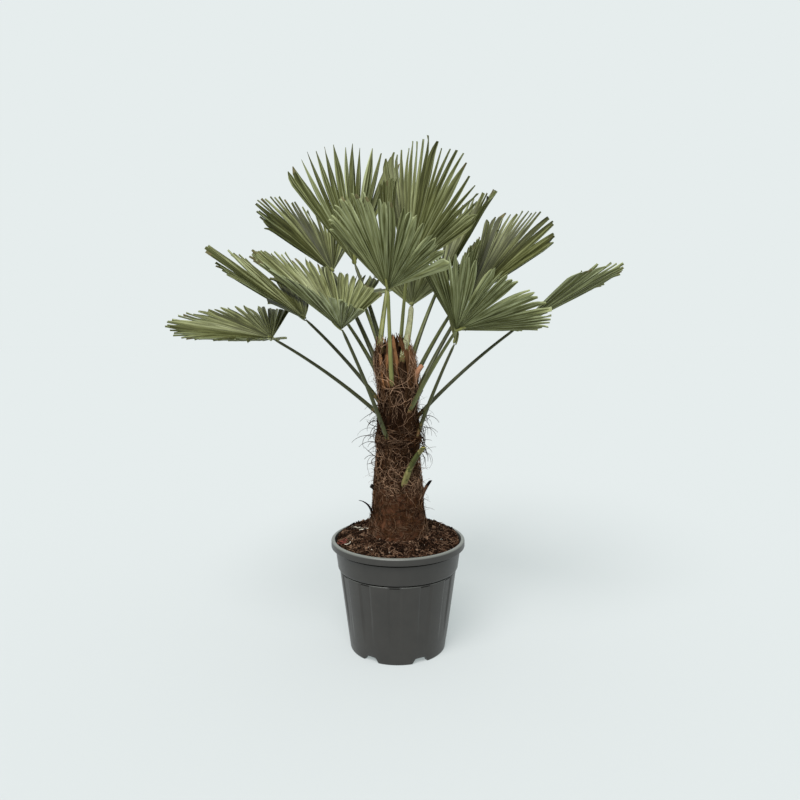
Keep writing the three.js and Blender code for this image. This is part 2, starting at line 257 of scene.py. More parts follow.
class PalmStageSettings(bpy.types.PropertyGroup):
    """Floor, light and camera."""

    backdrop: colour_property("Backdrop", "Colour of the background", 0xE6EDED)
    key_strength: bpy.props.FloatProperty(
        name="Key light", description="Light that the soft key throws on the floor, as a share "
        "of the light all round", default=1.0, min=0, subtype="FACTOR",
    )
    key_direction: bpy.props.FloatVectorProperty(
        name="Key direction", description="Where the key light comes from",
        default=(-0.2, -0.6, 0.77), size=3, subtype="DIRECTION",
    )
    camera_place: bpy.props.FloatVectorProperty(
        name="Camera", description="Where the camera stands", default=(0.006, -2.0, 0.967),
        size=3, subtype="TRANSLATION", unit="LENGTH",
    )
    camera_pitch: bpy.props.FloatProperty(
        name="Pitch", description="How far the camera looks down",
        default=math.radians(6.25), subtype="ANGLE",
    )
    focal_length: bpy.props.FloatProperty(
        name="Focal length", description="Focal length in millimetres on a 36 mm sensor",
        default=30.7, min=1,
    )


# Materials


def add(tree, kind, values=(), links=(), to=(), stops=(), **settings):
    """Adds a node with its settings, input values, links in and out, and a ramp's colour stops."""
    node = tree.nodes.new(kind)
    for name, value in settings.items():
        setattr(node, name, value)
    for name, value in dict(values).items():
        node.inputs[name].default_value = value
    for name, socket in dict(links).items():
        tree.links.new(socket, node.inputs[name])
    for name, socket in dict(to).items():
        tree.links.new(node.outputs[name], socket)
    for number, (place, colour) in enumerate(stops):
        ramp = node.color_ramp.elements
        stop = ramp[number] if number < len(ramp) else ramp.new(place)
        stop.position = place
        stop.color = (*colour, 1)
    return node


def shade(colour, factor):
    """A linear colour made darker or lighter."""
    return tuple(min(1, c * factor) for c in colour)


def shades(colour, *factors):
    """A linear colour in several tones."""
    return [shade(colour, factor) for factor in factors]


def tone_with_painted_sheen(colour, factor):
    """A leaf colour made darker or paler. Blue follows the tone, so the pale tones are greyed as a
    painted sheen of wax, and the dark are yellower.
    """
    red, green, blue = shade(colour, factor)
    return red, green, min(1, blue * factor**0.4)


def surface(name, roughness, ior=1.45, **values):
    """A material with one Principled shader: the material, its tree and the shader."""
    material = bpy.data.materials.new(name)
    material.use_nodes = True
    tree = material.node_tree
    tree.nodes.clear()
    shader = add(tree, "ShaderNodeBsdfPrincipled", {"Roughness": roughness, "IOR": ior, **values})
    add(tree, "ShaderNodeOutputMaterial", links={"Surface": shader.outputs["BSDF"]})
    return material, tree, shader


def natural(name, colour, roughness, contrast, patch, grain, relief, stretch=1.0, gloss=0.05):
    """A grown or loose surface: its colour drifts over patches, and a grain stands in relief.

    patch, grain and relief are millimetres, and stretch draws the pattern out along Z.
    """
    material, tree, shader = surface(name, roughness, **{"Specular IOR Level": gloss})
    place = add(tree, "ShaderNodeTexCoord").outputs["Object"]
    drawn = add(
        tree, "ShaderNodeMapping", {"Scale": (1, 1, 1 / stretch)}, {"Vector": place},
    ).outputs["Vector"]
    drift = add(
        tree, "ShaderNodeTexNoise", {"Scale": 1 / (patch * MM), "Detail": 4, "Roughness": 0.6},
        {"Vector": drawn},
    )
    add(
        tree, "ShaderNodeValToRGB", links={"Fac": drift.outputs["Fac"]},
        to={"Color": shader.inputs["Base Color"]},
        stops=[(0.3, shade(colour, 1 - contrast)), (0.7, shade(colour, 1 + contrast))],
    )
    fine = add(
        tree, "ShaderNodeTexNoise", {"Scale": 1 / (grain * MM), "Detail": 3}, {"Vector": drawn},
    )
    add(
        tree, "ShaderNodeBump", {"Strength": 0.6, "Distance": relief * MM},
        {"Height": fine.outputs["Fac"]}, {"Normal": shader.inputs["Normal"]},
    )
    return material


def naturals(name, colours, *finish):
    """Numbered materials of one finish, one for each colour."""
    return [natural(f"{name}_{n}", colour, *finish) for n, colour in enumerate(colours)]


def leaf_skin(name, colour, roughness):
    """Palm leaf: a waxy skin whose fine veins run along the segment, so it shines in streaks. Its
    colour is streaked too, and the pale streaks are greyed as a painted sheen.
    """
    material, tree, shader = surface(name, roughness, 1.42, **{"Specular IOR Level": 0.25})
    place = add(tree, "ShaderNodeTexCoord")
    # Streaks 4 mm wide and 80 mm long.
    drawn = add(
        tree, "ShaderNodeMapping", {"Scale": (1 / 0.4, 1 / 8, 1)}, {"Vector": place.outputs["UV"]},
    )
    streaks = add(
        tree, "ShaderNodeTexNoise", {"Scale": 1.0, "Detail": 3},
        {"Vector": drawn.outputs["Vector"]},
    )
    # The colour streaks run from dark to pale, and the pale end is greyed as a painted sheen.
    add(
        tree, "ShaderNodeValToRGB", links={"Fac": streaks.outputs["Fac"]},
        to={"Color": shader.inputs["Base Color"]},
        stops=[(0.34, tone_with_painted_sheen(colour, 0.42)), (0.68, tone_with_painted_sheen(colour, 1.6))],
    )
    # Real veins are about 1 mm apart. They are drawn 2.5 mm apart, so that they show. The UV
    # map is in centimetres, and a wave repeats each 2 pi / 20 of a unit.
    veins = add(
        tree, "ShaderNodeTexWave", {"Scale": 2 * math.pi / 20 / 0.25, "Distortion": 0.6},
        {"Vector": place.outputs["UV"]}, bands_direction="X",
    )
    add(
        tree, "ShaderNodeBump", {"Strength": 0.25, "Distance": 0.3 * MM},
        {"Height": veins.outputs["Fac"]}, {"Normal": shader.inputs["Normal"]},
    )
    return material


def moulded_plastic(name, colour):
    """Recycled polypropylene, injection moulded: satin, with scuffs. What faces up is paler, partly
    from dust and partly as painted light from above.
    """
    material, tree, shader = surface(name, 0.36, 1.49)
    place = add(tree, "ShaderNodeTexCoord").outputs["Object"]
    clouds = add(
        tree, "ShaderNodeTexNoise", {"Scale": 1 / (60 * MM), "Detail": 5, "Roughness": 0.65},
        {"Vector": place},
    )
    cloud_ramp = add(
        tree, "ShaderNodeValToRGB", links={"Fac": clouds.outputs["Fac"]},
        stops=[(0.3, shade(colour, 0.86)), (0.75, shade(colour, 1.15))],
    )
    # Faces that point up are mixed towards pale grey: dust, and painted light from above.
    normal = add(tree, "ShaderNodeNewGeometry").outputs["Normal"]
    upward = add(tree, "ShaderNodeSeparateXYZ", links={"Vector": normal}).outputs["Z"]
    dust_and_top_light = add(
        tree, "ShaderNodeMapRange", {"From Min": 0.1, "From Max": 1.0, "To Max": 0.55},
        {"Value": upward},
    )
    add(
        tree, "ShaderNodeMixRGB", {"Color2": (*linear(0x8D9089), 1)},
        {"Fac": dust_and_top_light.outputs["Result"], "Color1": cloud_ramp.outputs["Color"]},
        {"Color": shader.inputs["Base Color"]},
    )
    scuffs = add(
        tree, "ShaderNodeTexNoise", {"Scale": 1 / (9 * MM), "Detail": 6, "Roughness": 0.7},
        {"Vector": place},
    )
    add(
        tree, "ShaderNodeMapRange", {"To Min": 0.26, "To Max": 0.5},
        {"Value": scuffs.outputs["Fac"]}, {"Result": shader.inputs["Roughness"]},
    )
    add(
        tree, "ShaderNodeBump", {"Strength": 0.15, "Distance": 0.3 * MM},
        {"Height": scuffs.outputs["Fac"]}, {"Normal": shader.inputs["Normal"]},
    )
    return material


# Mesh helpers


def unit(vectors):
    """Vectors of length 1."""
    return vectors / (np.linalg.norm(vectors, axis=-1, keepdims=True) + 1e-9)


def clamp(value):
    """A number kept between 0 and 1."""
    return min(1.0, max(0.0, value))


def paint(faces, material):
    """Gives faces a material number."""
    for face in faces:
        face.material_index = material


def dress(piece, slot, *nodes):
    """Lets a finished piece ride on the body and stand for its CAD nodes."""
    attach(piece, "root")
    if nodes:
        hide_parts(*nodes)


def add_object(name, data):
    """A new object at the origin."""
    thing = bpy.data.objects.new(name, data)
    bpy.context.scene.collection.objects.link(thing)
    return thing


def link_mesh(name, mesh, materials):
    """An object at the origin for a mesh, with its materials."""
    for material in materials:
        mesh.materials.append(material)
    return add_object(name, mesh)


def piece_from_bmesh(name, bm, materials):
    """A smooth object from a bmesh in millimetres."""
    bmesh.ops.scale(bm, vec=(MM, MM, MM), verts=bm.verts)
    mesh = bpy.data.meshes.new(name)
    bm.to_mesh(mesh)
    bm.free()
    mesh.shade_smooth()
    return link_mesh(name, mesh, materials)


def piece_from_arrays(name, parts, materials):
    """One flat-shaded object from many meshes: (points, faces, material numbers, uv or None)."""
    points, faces, tints, uvs, start = [], [], [], [], 0
    for part_points, part_faces, part_tints, part_uv in parts:
        points.append(part_points)
        for rows in part_faces:
            faces.extend((rows + start).tolist())
        tints.append(part_tints)
        if part_uv is not None:
            uvs.append(part_uv)
        start += len(part_points)
    mesh = bpy.data.meshes.new(name)
    mesh.from_pydata((np.concatenate(points) * MM).tolist(), [], faces)
    mesh.polygons.foreach_set("material_index", np.concatenate(tints).astype(np.int32))
    if uvs:
        layer = mesh.uv_layers.new(name="UVMap")
        layer.data.foreach_set("uv", np.concatenate(uvs).astype(np.float32).ravel())
    mesh.shade_flat()
    mesh.update()
    return link_mesh(name, mesh, materials)


def faces_of(verts):
    """The faces at any of the vertices, in a fixed order."""
    return list(dict.fromkeys(face for vert in verts for face in vert.link_faces))


def sweep(bm, places, sides, material=0):
    """Carries a circle of radius 1 through a list of matrices and closes both ends."""
    ring = bmesh.ops.create_circle(bm, segments=sides, radius=1, cap_ends=True)["verts"]
    bmesh.ops.transform(bm, matrix=places[0], verts=ring)
    faces = faces_of(ring)
    edges = list(faces[0].edges)
    for before, after in zip(places, places[1:]):
        made = bmesh.ops.extrude_edge_only(bm, edges=edges)["geom"]
        verts = [g for g in made if isinstance(g, bmesh.types.BMVert)]
        edges = [
            g for g in made
            if isinstance(g, bmesh.types.BMEdge) and g.verts[0] in verts and g.verts[1] in verts
        ]
        faces += [g for g in made if isinstance(g, bmesh.types.BMFace)]
        bmesh.ops.transform(bm, matrix=after @ before.inverted(), verts=verts)
    faces += bmesh.ops.contextual_create(bm, geom=edges)["faces"]
    paint(faces, material)
    bmesh.ops.recalc_face_normals(bm, faces=faces)
    return faces


def lathe(bm, profile, steps):
    """Turns a profile of (radius, height) round Z."""
    verts = [bm.verts.new((r, 0, z)) for r, z in profile]
    edges = [bm.edges.new(pair) for pair in zip(verts, verts[1:])]
    bmesh.ops.spin(
        bm, geom=verts + edges, cent=(0, 0, 0), axis=(0, 0, 1), angle=2 * math.pi,
        steps=steps, use_merge=True,
    )
    bmesh.ops.remove_doubles(bm, verts=bm.verts, dist=1e-3)
    bmesh.ops.recalc_face_normals(bm, faces=bm.faces)


def arc(centre, radius, start, end, steps):
    """Points (radius, height) of a round corner, angles in degrees."""
    turns = [math.radians(start + (end - start) * i / steps) for i in range(steps + 1)]
    return [(centre[0] + radius * math.cos(t), centre[1] + radius * math.sin(t)) for t in turns]


def tubes(paths, radii, away, sides):
    """Closed thin tubes along paths (count, points, 3), with radii (count, points).

    away (count, points, 3) is any direction across each path.
    """
    count, steps, _ = paths.shape
    ahead = unit(np.gradient(paths, axis=1))
    across = unit(np.cross(ahead, away))
    out = np.cross(across, ahead)
    turn = 2 * np.pi * np.arange(sides) / sides
    ring = across[:, :, None] * np.cos(turn)[:, None] + out[:, :, None] * np.sin(turn)[:, None]
    points = paths[:, :, None] + ring * radii[:, :, None, None]
    grid = np.arange(count * steps * sides).reshape(count, steps, sides)
    a = grid[:, :-1]
    b = np.roll(a, -1, axis=2)
    c = grid[:, 1:]
    d = np.roll(c, -1, axis=2)
    quads = np.stack([b, a, c, d], axis=3).reshape(-1, 4)
    ends = np.concatenate([grid[:, 0], grid[:, -1, ::-1]])
    return points.reshape(-1, 3), quads, ends


# The plant's own rules


def trunk_centre_x(height):
    """How far the trunk leans at a height."""
    t = np.clip((height - TRUNK_LEAN_FROM) / (TRUNK_LEAN_TO - TRUNK_LEAN_FROM), 0, 1)
    return TRUNK_LEAN * t * t * (3 - 2 * t)


def trunk_radius(height):
    """The trunk's radius at a height."""
    return np.interp(height, *zip(*TRUNK_PROFILE))


def round_trunk(bearing, height, reach):
    """Points round the trunk's leaning axis. The bearing is in radians."""
    x = trunk_centre_x(height) + reach * np.cos(bearing)
    return np.stack([x, reach * np.sin(bearing), height], axis=-1)


def on_trunk(bearing, height, lift):
    """Points on the trunk's skin, raised by a lift."""
    return round_trunk(bearing, height, trunk_radius(height) + lift)


def cover_radius(height):
    """The radius of what covers the trunk: its skin, and round the crown the sheaths."""
    ring = np.interp(height, *zip(*SHEATH_PROFILE))
    skin = trunk_radius(height)
    return np.where(np.asarray(height) > SHEATH_PROFILE[0][0], np.maximum(skin, ring), skin)


def on_cover(bearing, height, lift):
    """Points on what covers the trunk, raised by a lift."""
    return round_trunk(bearing, height, cover_radius(height) + lift)


def turn_from(bearing, centre):
    """Signed angle in degrees between two bearings."""
    return (bearing - centre + 180) % 360 - 180


def bearing_vector(bearing, rise=0.0):
    """A unit vector from a bearing and a rise in degrees."""
    b, r = math.radians(bearing), math.radians(rise)
    return np.array([math.cos(r) * math.cos(b), math.cos(r) * math.sin(b), math.sin(r)])


def blade_axes(aim):
    """A blade's directions: along its middle segment, to the left, out of its upper side."""
    bearing, rise, roll = aim
    along = bearing_vector(bearing, rise)
    level = bearing_vector(bearing + 90)
    above = np.cross(along, level)
    left = level * math.cos(math.radians(roll)) + above * math.sin(math.radians(roll))
    return along, left, np.cross(along, left)


# Leaves


# Places round a segment's section, from margin to margin on the upper side and back below.
# Each is a share of the half width; the rib's strip is the middle one.
SECTION_TOP = np.array([-1, -0.55, -0.1, 0.1, 0.55, 1])
SECTION_UNDER = np.array([1, 0.55, 0.1, -0.1, -0.55, -1])
# Places along a segment, as shares of its length: closer where it splits and narrows.
RINGS = np.array([0.015, 0.12, 0.28, 0.45, 0.58, 0.67, 0.75, 0.82, 0.89, 0.95, 1.0])
# How many segments of a leaf have each of the upper side's tints, one row a tone.
TINT_SHARES = [
    (0.5, 0.3, 0.1, 0.1), (0.15, 0.4, 0.4, 0.05), (0.0, 0.3, 0.55, 0.15), (0.0, 0.1, 0.5, 0.4),
]
UNDER_TINT, RIB_TINT, TIP_TINT = 4, 7, 8


def strap_width(share, split, blunt):
    """A free segment's width against its width in the joined part, at a share of the length."""
    free = np.clip((share - split) / (1 - split), 0, 1)
    end = np.clip((free - 0.25 - 0.35 * blunt) / (0.75 - 0.35 * blunt), 0, 1)
    narrowing = (1 - 0.12 * free) * (1 - (0.93 - 0.22 * blunt) * end ** (1.2 + 1.1 * blunt))
    return np.where(share <= split, 1.0, split / share * narrowing)


def leaf_parts(frond, look, settings, rng):
    """All segments of one leaf as arrays: pleated to the split, then free straps."""
    _, hub, aim, cup, reach, spread = frond
    tone, blunt, bunch = look
    along, left, up = blade_axes(aim)
    k = math.radians(cup)
    axis = along * math.cos(k) + up * math.sin(k)
    outward = along * math.sin(k) - up * math.cos(k)
    count = max(14, round(2 * spread / math.degrees(settings.segment_angle)))
    thickness = settings.thickness / MM
    rib = settings.rib / MM

    # Segments differ in width, because some are folded tighter than others.
    widths = np.exp(rng.normal(0, 0.24, count))
    widths *= 2 * spread / widths.sum()
    edge = np.concatenate([[0], np.cumsum(widths)]) - spread
    middle = (edge[:-1] + edge[1:]) / 2
    pleat = settings.pleat / MM * min(1.0, 2 * spread / count / 4)
    fold = pleat * rng.uniform(0.7, 1.35, count + 1)
    valley = pleat * rng.uniform(0.7, 1.3, count)

    # Splits differ too. Some neighbours stay joined, and the outermost ones make a band.
    split = rng.uniform(0.56, 0.72, count + 1) + 0.08 * blunt - 0.12 * bunch
    split[rng.random(count + 1) < 0.06 + 0.26 * blunt] = 0.86
    split[np.abs(edge) > 0.8 * spread] = 0.9

    # Free segments lean towards the middle of their bunch.
    bunches = np.cumsum(rng.uniform(0.7, 1.3, 40)) * (13 + 27 * bunch) - spread - 8
    nearest = bunches[np.abs(middle[:, None] - bunches).argmin(axis=1)]
    gather = ((nearest - middle) * 0.6 * bunch)[:, None]
    low, high = split[:-1, None], split[1:, None]
    share = RINGS[None, :]
    last = np.maximum(low, high)
    free = np.clip((share - last) / (1 - last), 0, 1)
    droop = rng.uniform(-4, 8, (count, 1)) * free**2
    sway = rng.normal(0, 0.7, (count, 1)) * free**1.4
    sway = sway + gather * np.clip((share - 0.35) / 0.65, 0, 1) ** 1.3
    twist = rng.normal(0, 1.8, (count, 1)) * free
    length = 1 - np.abs(rng.normal(0, 0.025, (count, 1)))

    def rise_of(height, at):
        """Height of a fold or valley along the leaf: it grows to the split and then flattens."""
        after = np.clip((share - at) / (1 - at), 0, 1)
        return height * np.minimum(share / FOLD_FULL, 1) * (1 - 0.5 * after**0.7)

    depth = rise_of(valley[:, None], (low + high) / 2)[:, :, None]
    sides = [
        (strap_width(share, at, blunt)[:, :, None], rise_of(height[:, None], at)[:, :, None])
        for at, height in ((low, fold[:-1]), (high, fold[1:]))
    ]

    def skin(places, below):
        """Angle and lift at places across the section."""
        t = places[None, None, :]
        width = np.where(t < 0, sides[0][0], sides[1][0])
        margin = np.where(t < 0, sides[0][1], sides[1][1])
        angle = (middle[:, None] + sway)[:, :, None] + t * width * widths[:, None, None] / 2
        level = np.abs(t) ** 0.9
        lift = margin * level - depth * (1 - level) + (twist[:, :, None] * t - droop[:, :, None])
        if below:
            bulge = (np.abs(t) < 0.2) * rib * (1.15 - share[:, :, None])
            lift = lift - thickness - bulge
        return angle, lift

    upper, lower = skin(SECTION_TOP, False), skin(SECTION_UNDER, True)
    angle = np.concatenate([upper[0], lower[0]], axis=2)
    lift = np.concatenate([upper[1], lower[1]], axis=2)

    turn = np.radians(angle) / math.sin(k)
    spoke = np.cos(turn)[..., None] * outward + np.sin(turn)[..., None] * left
    ahead = math.cos(k) * axis + math.sin(k) * spoke
    above = math.sin(k) * axis - math.cos(k) * spoke
    full = reach * (1 - SIDE_SHORTENING * (np.abs(angle) / FULL_SPREAD) ** 2.5)
    far = full * length[:, :, None] * share[:, :, None]
    points = np.array(hub) + ahead * far[..., None] + above * lift[..., None]

    # Quads between rings, and a row of quads that closes each end.
    rings, loop = len(RINGS), angle.shape[2]
    grid = np.arange(count * rings * loop).reshape(count, rings, loop)
    a, c = grid[:, :-1], grid[:, 1:]
    b, d = np.roll(a, -1, axis=2), np.roll(c, -1, axis=2)
    quads = np.stack([a, b, d, c], axis=3)
    top_count = len(SECTION_TOP)
    pairs = np.array([(i, i + 1, loop - 2 - i, loop - 1 - i) for i in range(top_count - 1)])
    root = np.stack([grid[:, 0][:, pair[::-1]] for pair in pairs], axis=1)
    tip = np.stack([grid[:, -1][:, pair] for pair in pairs], axis=1)

    # Tints: upper side and underside by segment, the rib's strips, and dry tips on some segments.
    # The strips beside the rib are a tone darker, as painted shade in the pleat's fold.
    tint = rng.choice(4, count, p=TINT_SHARES[tone])
    dry = rng.random(count) < DRY_TIPS
    faces = np.empty((count, rings - 1, loop), int)
    faces[:] = tint[:, None, None]
    # Painted shade: the strips on each side of the rib are a tone darker, above and below.
    faces[:, :, [1, 3]] = np.maximum(tint - 1, 0)[:, None, None]
    faces[:, :, top_count - 1:] = UNDER_TINT + np.minimum(tint, 2)[:, None, None]
    faces[:, :, [top_count + 1, top_count + 3]] = UNDER_TINT + (tint == 3)[:, None, None]
    faces[:, :, [2, top_count + 2]] = RIB_TINT
    faces[dry, -1:, :] = TIP_TINT
    caps = np.full(root.shape[:2], RIB_TINT).ravel()
    tints = np.concatenate([faces.ravel(), caps, caps])

    # UV: across the segment and along it, in centimetres. Each segment has its own stretch.
    across = np.concatenate([SECTION_TOP, SECTION_UNDER])[None, None, :] * widths[:, None, None] / 2
    u = np.radians(across) * FOLD_FULL * reach / 10 + 7.3 * np.arange(count)[:, None, None]
    u = np.broadcast_to(u, angle.shape).ravel()
    v = (far / 10).ravel()
    corners = np.concatenate([quads.reshape(-1, 4), root.reshape(-1, 4), tip.reshape(-1, 4)])
    uv = np.stack([u[corners], v[corners]], axis=2).reshape(-1, 2)
    return points.reshape(-1, 3), [corners], tints, uv


class PALM_OT_leaves(bpy.types.Operator):
    """Builds the fan leaves in three pieces"""

    bl_idname = "palm.leaves"
    bl_label = "Leaves"

    def execute(self, context):
        settings = context.scene.palm_leaf
        # The tones of each side, with the pale ones greyed as a painted sheen.
        tops = [
            leaf_skin(f"palm_leaf_upper_{n}", tone_with_painted_sheen(settings.top, f), 0.46)
            for n, f in enumerate((0.3, 0.55, 1.0, 1.5))
        ]
        unders = [
            leaf_skin(f"palm_leaf_under_{n}", tone_with_painted_sheen(settings.under, f), 0.6)
            for n, f in enumerate((0.55, 1.2, 2.0))
        ]
        # Midribs: harder and yellower than the blade, so they read as fine light lines.
        ribs = leaf_skin("palm_leaf_rib", settings.ribs, 0.5)
        # Dead leaf at the tips: papery and paler, with no wax left to shine.
        tips = natural("dry_palm_leaf", settings.tips, 0.8, 0.2, 12, 2, 0.3)
        rng = np.random.default_rng(SEEDS["leaves"])
        parts = [leaf_parts(*row, settings, rng) for row in zip(FRONDS, LEAF_LOOKS)]
        groups = {
            "leaves_left": range(0, 5), "leaves_front": range(5, 11), "leaves_back": range(11, 17),
        }
        for name, numbers in groups.items():
            piece = piece_from_arrays(
                name, [parts[n] for n in numbers], [*tops, *unders, ribs, tips],
            )
            dress(piece, "fan", *[f"fan_{n + 1:02d}" for n in numbers])
        return {"FINISHED"}


# Stalks


def frame_matrix(centre, side, normal, ahead):
    """A matrix that carries the unit circle to an oval at a centre."""
    matrix = Matrix.Identity(4)
    for column, vector in enumerate((side, normal, ahead, centre)):
        for row in range(3):
            matrix[row][column] = vector[row]
    return matrix


def stalk_places(frond, wider, bow, foot_wider):
    """The stalk's ovals from the trunk to the hub, wider and deeper at the foot."""
    (height, bearing), hub, *_ = frond
    foot = on_trunk(math.radians(bearing), height, STALK_SUNK)
    hub = np.array(hub, float)
    span = hub - foot
    length = np.linalg.norm(span)
    straight = span / length
    lift = np.array([0, 0, 1]) - straight * straight[2]
    bend = foot + span / 2 + lift * STALK_ARCH * length + bearing_vector(bearing) * bow
    side = unit(np.cross([0, 0, 1], straight))
    places = []
    for i in range(STALK_RINGS + 1):
        # The rings are closer at the foot, which has more shape and colour.
        t = (i / STALK_RINGS) ** 1.35 * (1 - STALK_GAP / length)
        centre = (1 - t) ** 2 * foot + 2 * t * (1 - t) * bend + t * t * hub
        ahead = unit((1 - t) * (bend - foot) + t * (hub - bend))
        normal = np.cross(ahead, side)
        root = max(0.0, 1 - t / 0.22) ** 2
        width = (STALK_WIDTH + STALK_WIDER * (1 - t) ** 1.5) * wider + foot_wider * root
        depth = STALK_DEPTH + STALK_DEEPER * (1 - t) ** 1.2
        neck = min(1.0, (1 - t) * 8 + 0.45) / 2
        places.append(frame_matrix(centre, side * width * neck, normal * depth * neck, ahead))
    return places


def hub_crest(bm, frond, material):
    """The small tongue on a blade's upper side where the stalk ends, and the spine below it."""
    _, hub, aim, *_ = frond
    along, left, up = blade_axes(aim)
    for lift, reach, width, depth in ((3.0, 9, 8, 4), (-3.5, 20, 5, 3.5)):
        centre = np.array(hub) + up * lift + along * reach * 0.7
        place = frame_matrix(centre, along * reach, left * width, up * depth)
        made = bmesh.ops.create_uvsphere(bm, u_segments=12, v_segments=8, radius=1, matrix=place)
        paint(faces_of(made["verts"]), material)


class PALM_OT_stalks(bpy.types.Operator):
    """Builds the leaf stalks"""

    bl_idname = "palm.stalks"
    bl_label = "Stalks"

    def execute(self, context):
        colour = context.scene.palm_leaf.stalk
        fresh = [*shades(colour, 0.32, 0.5, 1), linear(0x767843), linear(0x8F8F6C)]
        materials = [
            # Fresh stalks: a hard waxy rind with fine fibre along it, so it shines in soft bands.
            *naturals("palm_stalk", fresh, 0.42, 0.3, 12, 3, 0.15, 8, 0.35),
            # Where a stalk meets its sheath the rind dies: first yellow-brown, then dull brown.
            natural("palm_stalk_sheath", linear(0x5E4630), 0.75, 0.45, 8, 1.5, 0.5, 6),
            natural("palm_stalk_withered", linear(0x5C5232), 0.6, 0.4, 8, 1.5, 0.3, 6),
        ]
        bm = bmesh.new()
        # The tone of each stalk, by its number: pale ones in front, dark ones at the sides.
        tints = {6: 3, 7: 3, 15: 3, 13: 4, **dict.fromkeys((1, 2, 3, 4, 5, 9, 11, 12), 1)}
        sheath, withered, crest, usual = 5, 6, 3, 2
        for number, frond in enumerate(FRONDS, 1):
            places = stalk_places(frond, *STALK_OTHERS.get(number, STALK_USUAL))
            tint = tints.get(number, usual)
            for n, face in enumerate(sweep(bm, places, STALK_SIDES, tint)[1:-1]):
                middle = face.calc_center_median()
                local = places[n // STALK_SIDES].inverted() @ middle
                from_foot = (middle - places[0].translation).length + 26 * noise.noise(middle / 7)
                if from_foot < STALK_WITHERED:
                    face.material_index = sheath if from_foot < STALK_DEAD else withered
                elif abs(local.x) > 0.8:
                    # The margins are a tone darker: painted shade on the stalk's rounded sides.
                    face.material_index = tint - 1
            hub_crest(bm, frond, crest)
        bmesh.ops.recalc_face_normals(bm, faces=bm.faces)
        piece = piece_from_bmesh("leaf_stalks", bm, materials)
        dress(piece, "stalk", *[f"stalk_{n:02d}" for n in range(1, len(FRONDS) + 1)])
        return {"FINISHED"}


class PALM_OT_stumps(bpy.types.Operator):
    """Builds the cut stalks that are left on the trunk"""

    bl_idname = "palm.stumps"
    bl_label = "Cut stalks"

    def execute(self, context):
        colour = context.scene.palm_leaf.stalk
        # Cut stalks: one still green, the others dried to a dull streaked brown with black
        # ends. The fresh cut shows pale pith.
        materials = [
            natural("cut_stalk_green", shade(colour, 0.55), 0.5, 0.3, 16, 3, 0.3, 4),
            natural("cut_stalk_dry", linear(0x4C3729), 0.8, 0.35, 10, 2, 0.5, 5),
            natural("cut_stalk_black", linear(0x14120F), 0.5, 0.4, 10, 2, 0.3, 4),
            natural("cut_face", linear(0x8C8550), 0.8, 0.25, 6, 1.5, 0.4),
            natural("cut_stalk_pale", linear(0x726D45), 0.7, 0.4, 8, 1.5, 0.4, 5),
        ]
        green, dry, black, cut, pale = range(5)
        # Each kind's tone, and how much thinner it is at its end. A blade is a dead leaflet.
        thinner = {"green": 0.25, "dry": 0.25, "black": 0.1, "blade": 0.85}
        tones = {"green": green, "dry": dry, "black": black, "blade": black}
        bm = bmesh.new()
        for (height, bearing), toward, rise, length, radius, kind in STUMPS:
            foot = on_trunk(math.radians(bearing), height, -float(radius))
            ahead = bearing_vector(toward, rise)
            side = unit(np.cross([0, 0, 1], ahead))
            normal = np.cross(ahead, side)
            t = np.linspace(0, 1, 25)[:, None]
            line = foot + ahead * length * t + normal * length * 0.06 * np.sin(np.pi * t)
            if kind == "blade":
                # It rises steeply and then curls over.
                out = bearing_vector(toward) * 0.55 * t**2
                line = foot + length * (out + np.array([0, 0, 0.85]) * (1 - (1 - t) ** 1.6))
            places = []
            for share, centre, tilt in zip(t[:, 0], line, unit(np.gradient(line, axis=0))):
                size = radius * (1 - thinner[kind] * share)
                # The cut at the end is aslant.
                tilt = unit(tilt + normal * 0.7 * share**6 * (kind != "black"))
                places.append(
                    frame_matrix(centre, side * size, np.cross(tilt, side) * size * 0.68, tilt)
                )
            faces = sweep(bm, places, 12, tones[kind])
            faces[-1].material_index = cut if kind == "green" else black
            for face in faces:
                place = np.array(face.calc_center_median())
                along = np.dot(place - foot, ahead) / length
                streak = 0.3 * noise.noise((place[0] / 4, place[1] / 4, place[2] / 45))
                # Dry ones are black at the end. The green one pales at its foot and near the cut.
                if kind == "dry" and along > 0.78:
                    face.material_index = black
                if kind == "green" and (along < 0.42 + streak or 0.86 + streak / 3 < along < 0.97):
                    face.material_index = pale
        bmesh.ops.recalc_face_normals(bm, faces=bm.faces)
        piece = piece_from_bmesh("cut_stalks", bm, materials)
        dress(piece, "stump", *[f"stump_{n:02d}" for n in range(1, len(STUMPS) + 1)])
        return {"FINISHED"}


# Trunk


def trunk_relief(point):
    """How far the matted fibre stands out of the trunk's round shape at a point."""
    x, y, z = point
    folds = noise.noise((x / 34, y / 34, z / 70)) * 3.2
    ridges = noise.noise((x / 10, y / 10, z / 46 + 7)) * 2.6
    threads = noise.noise((x / 3.5, y / 3.5, z / 17 + 3)) * 1.5
    return folds + ridges + threads


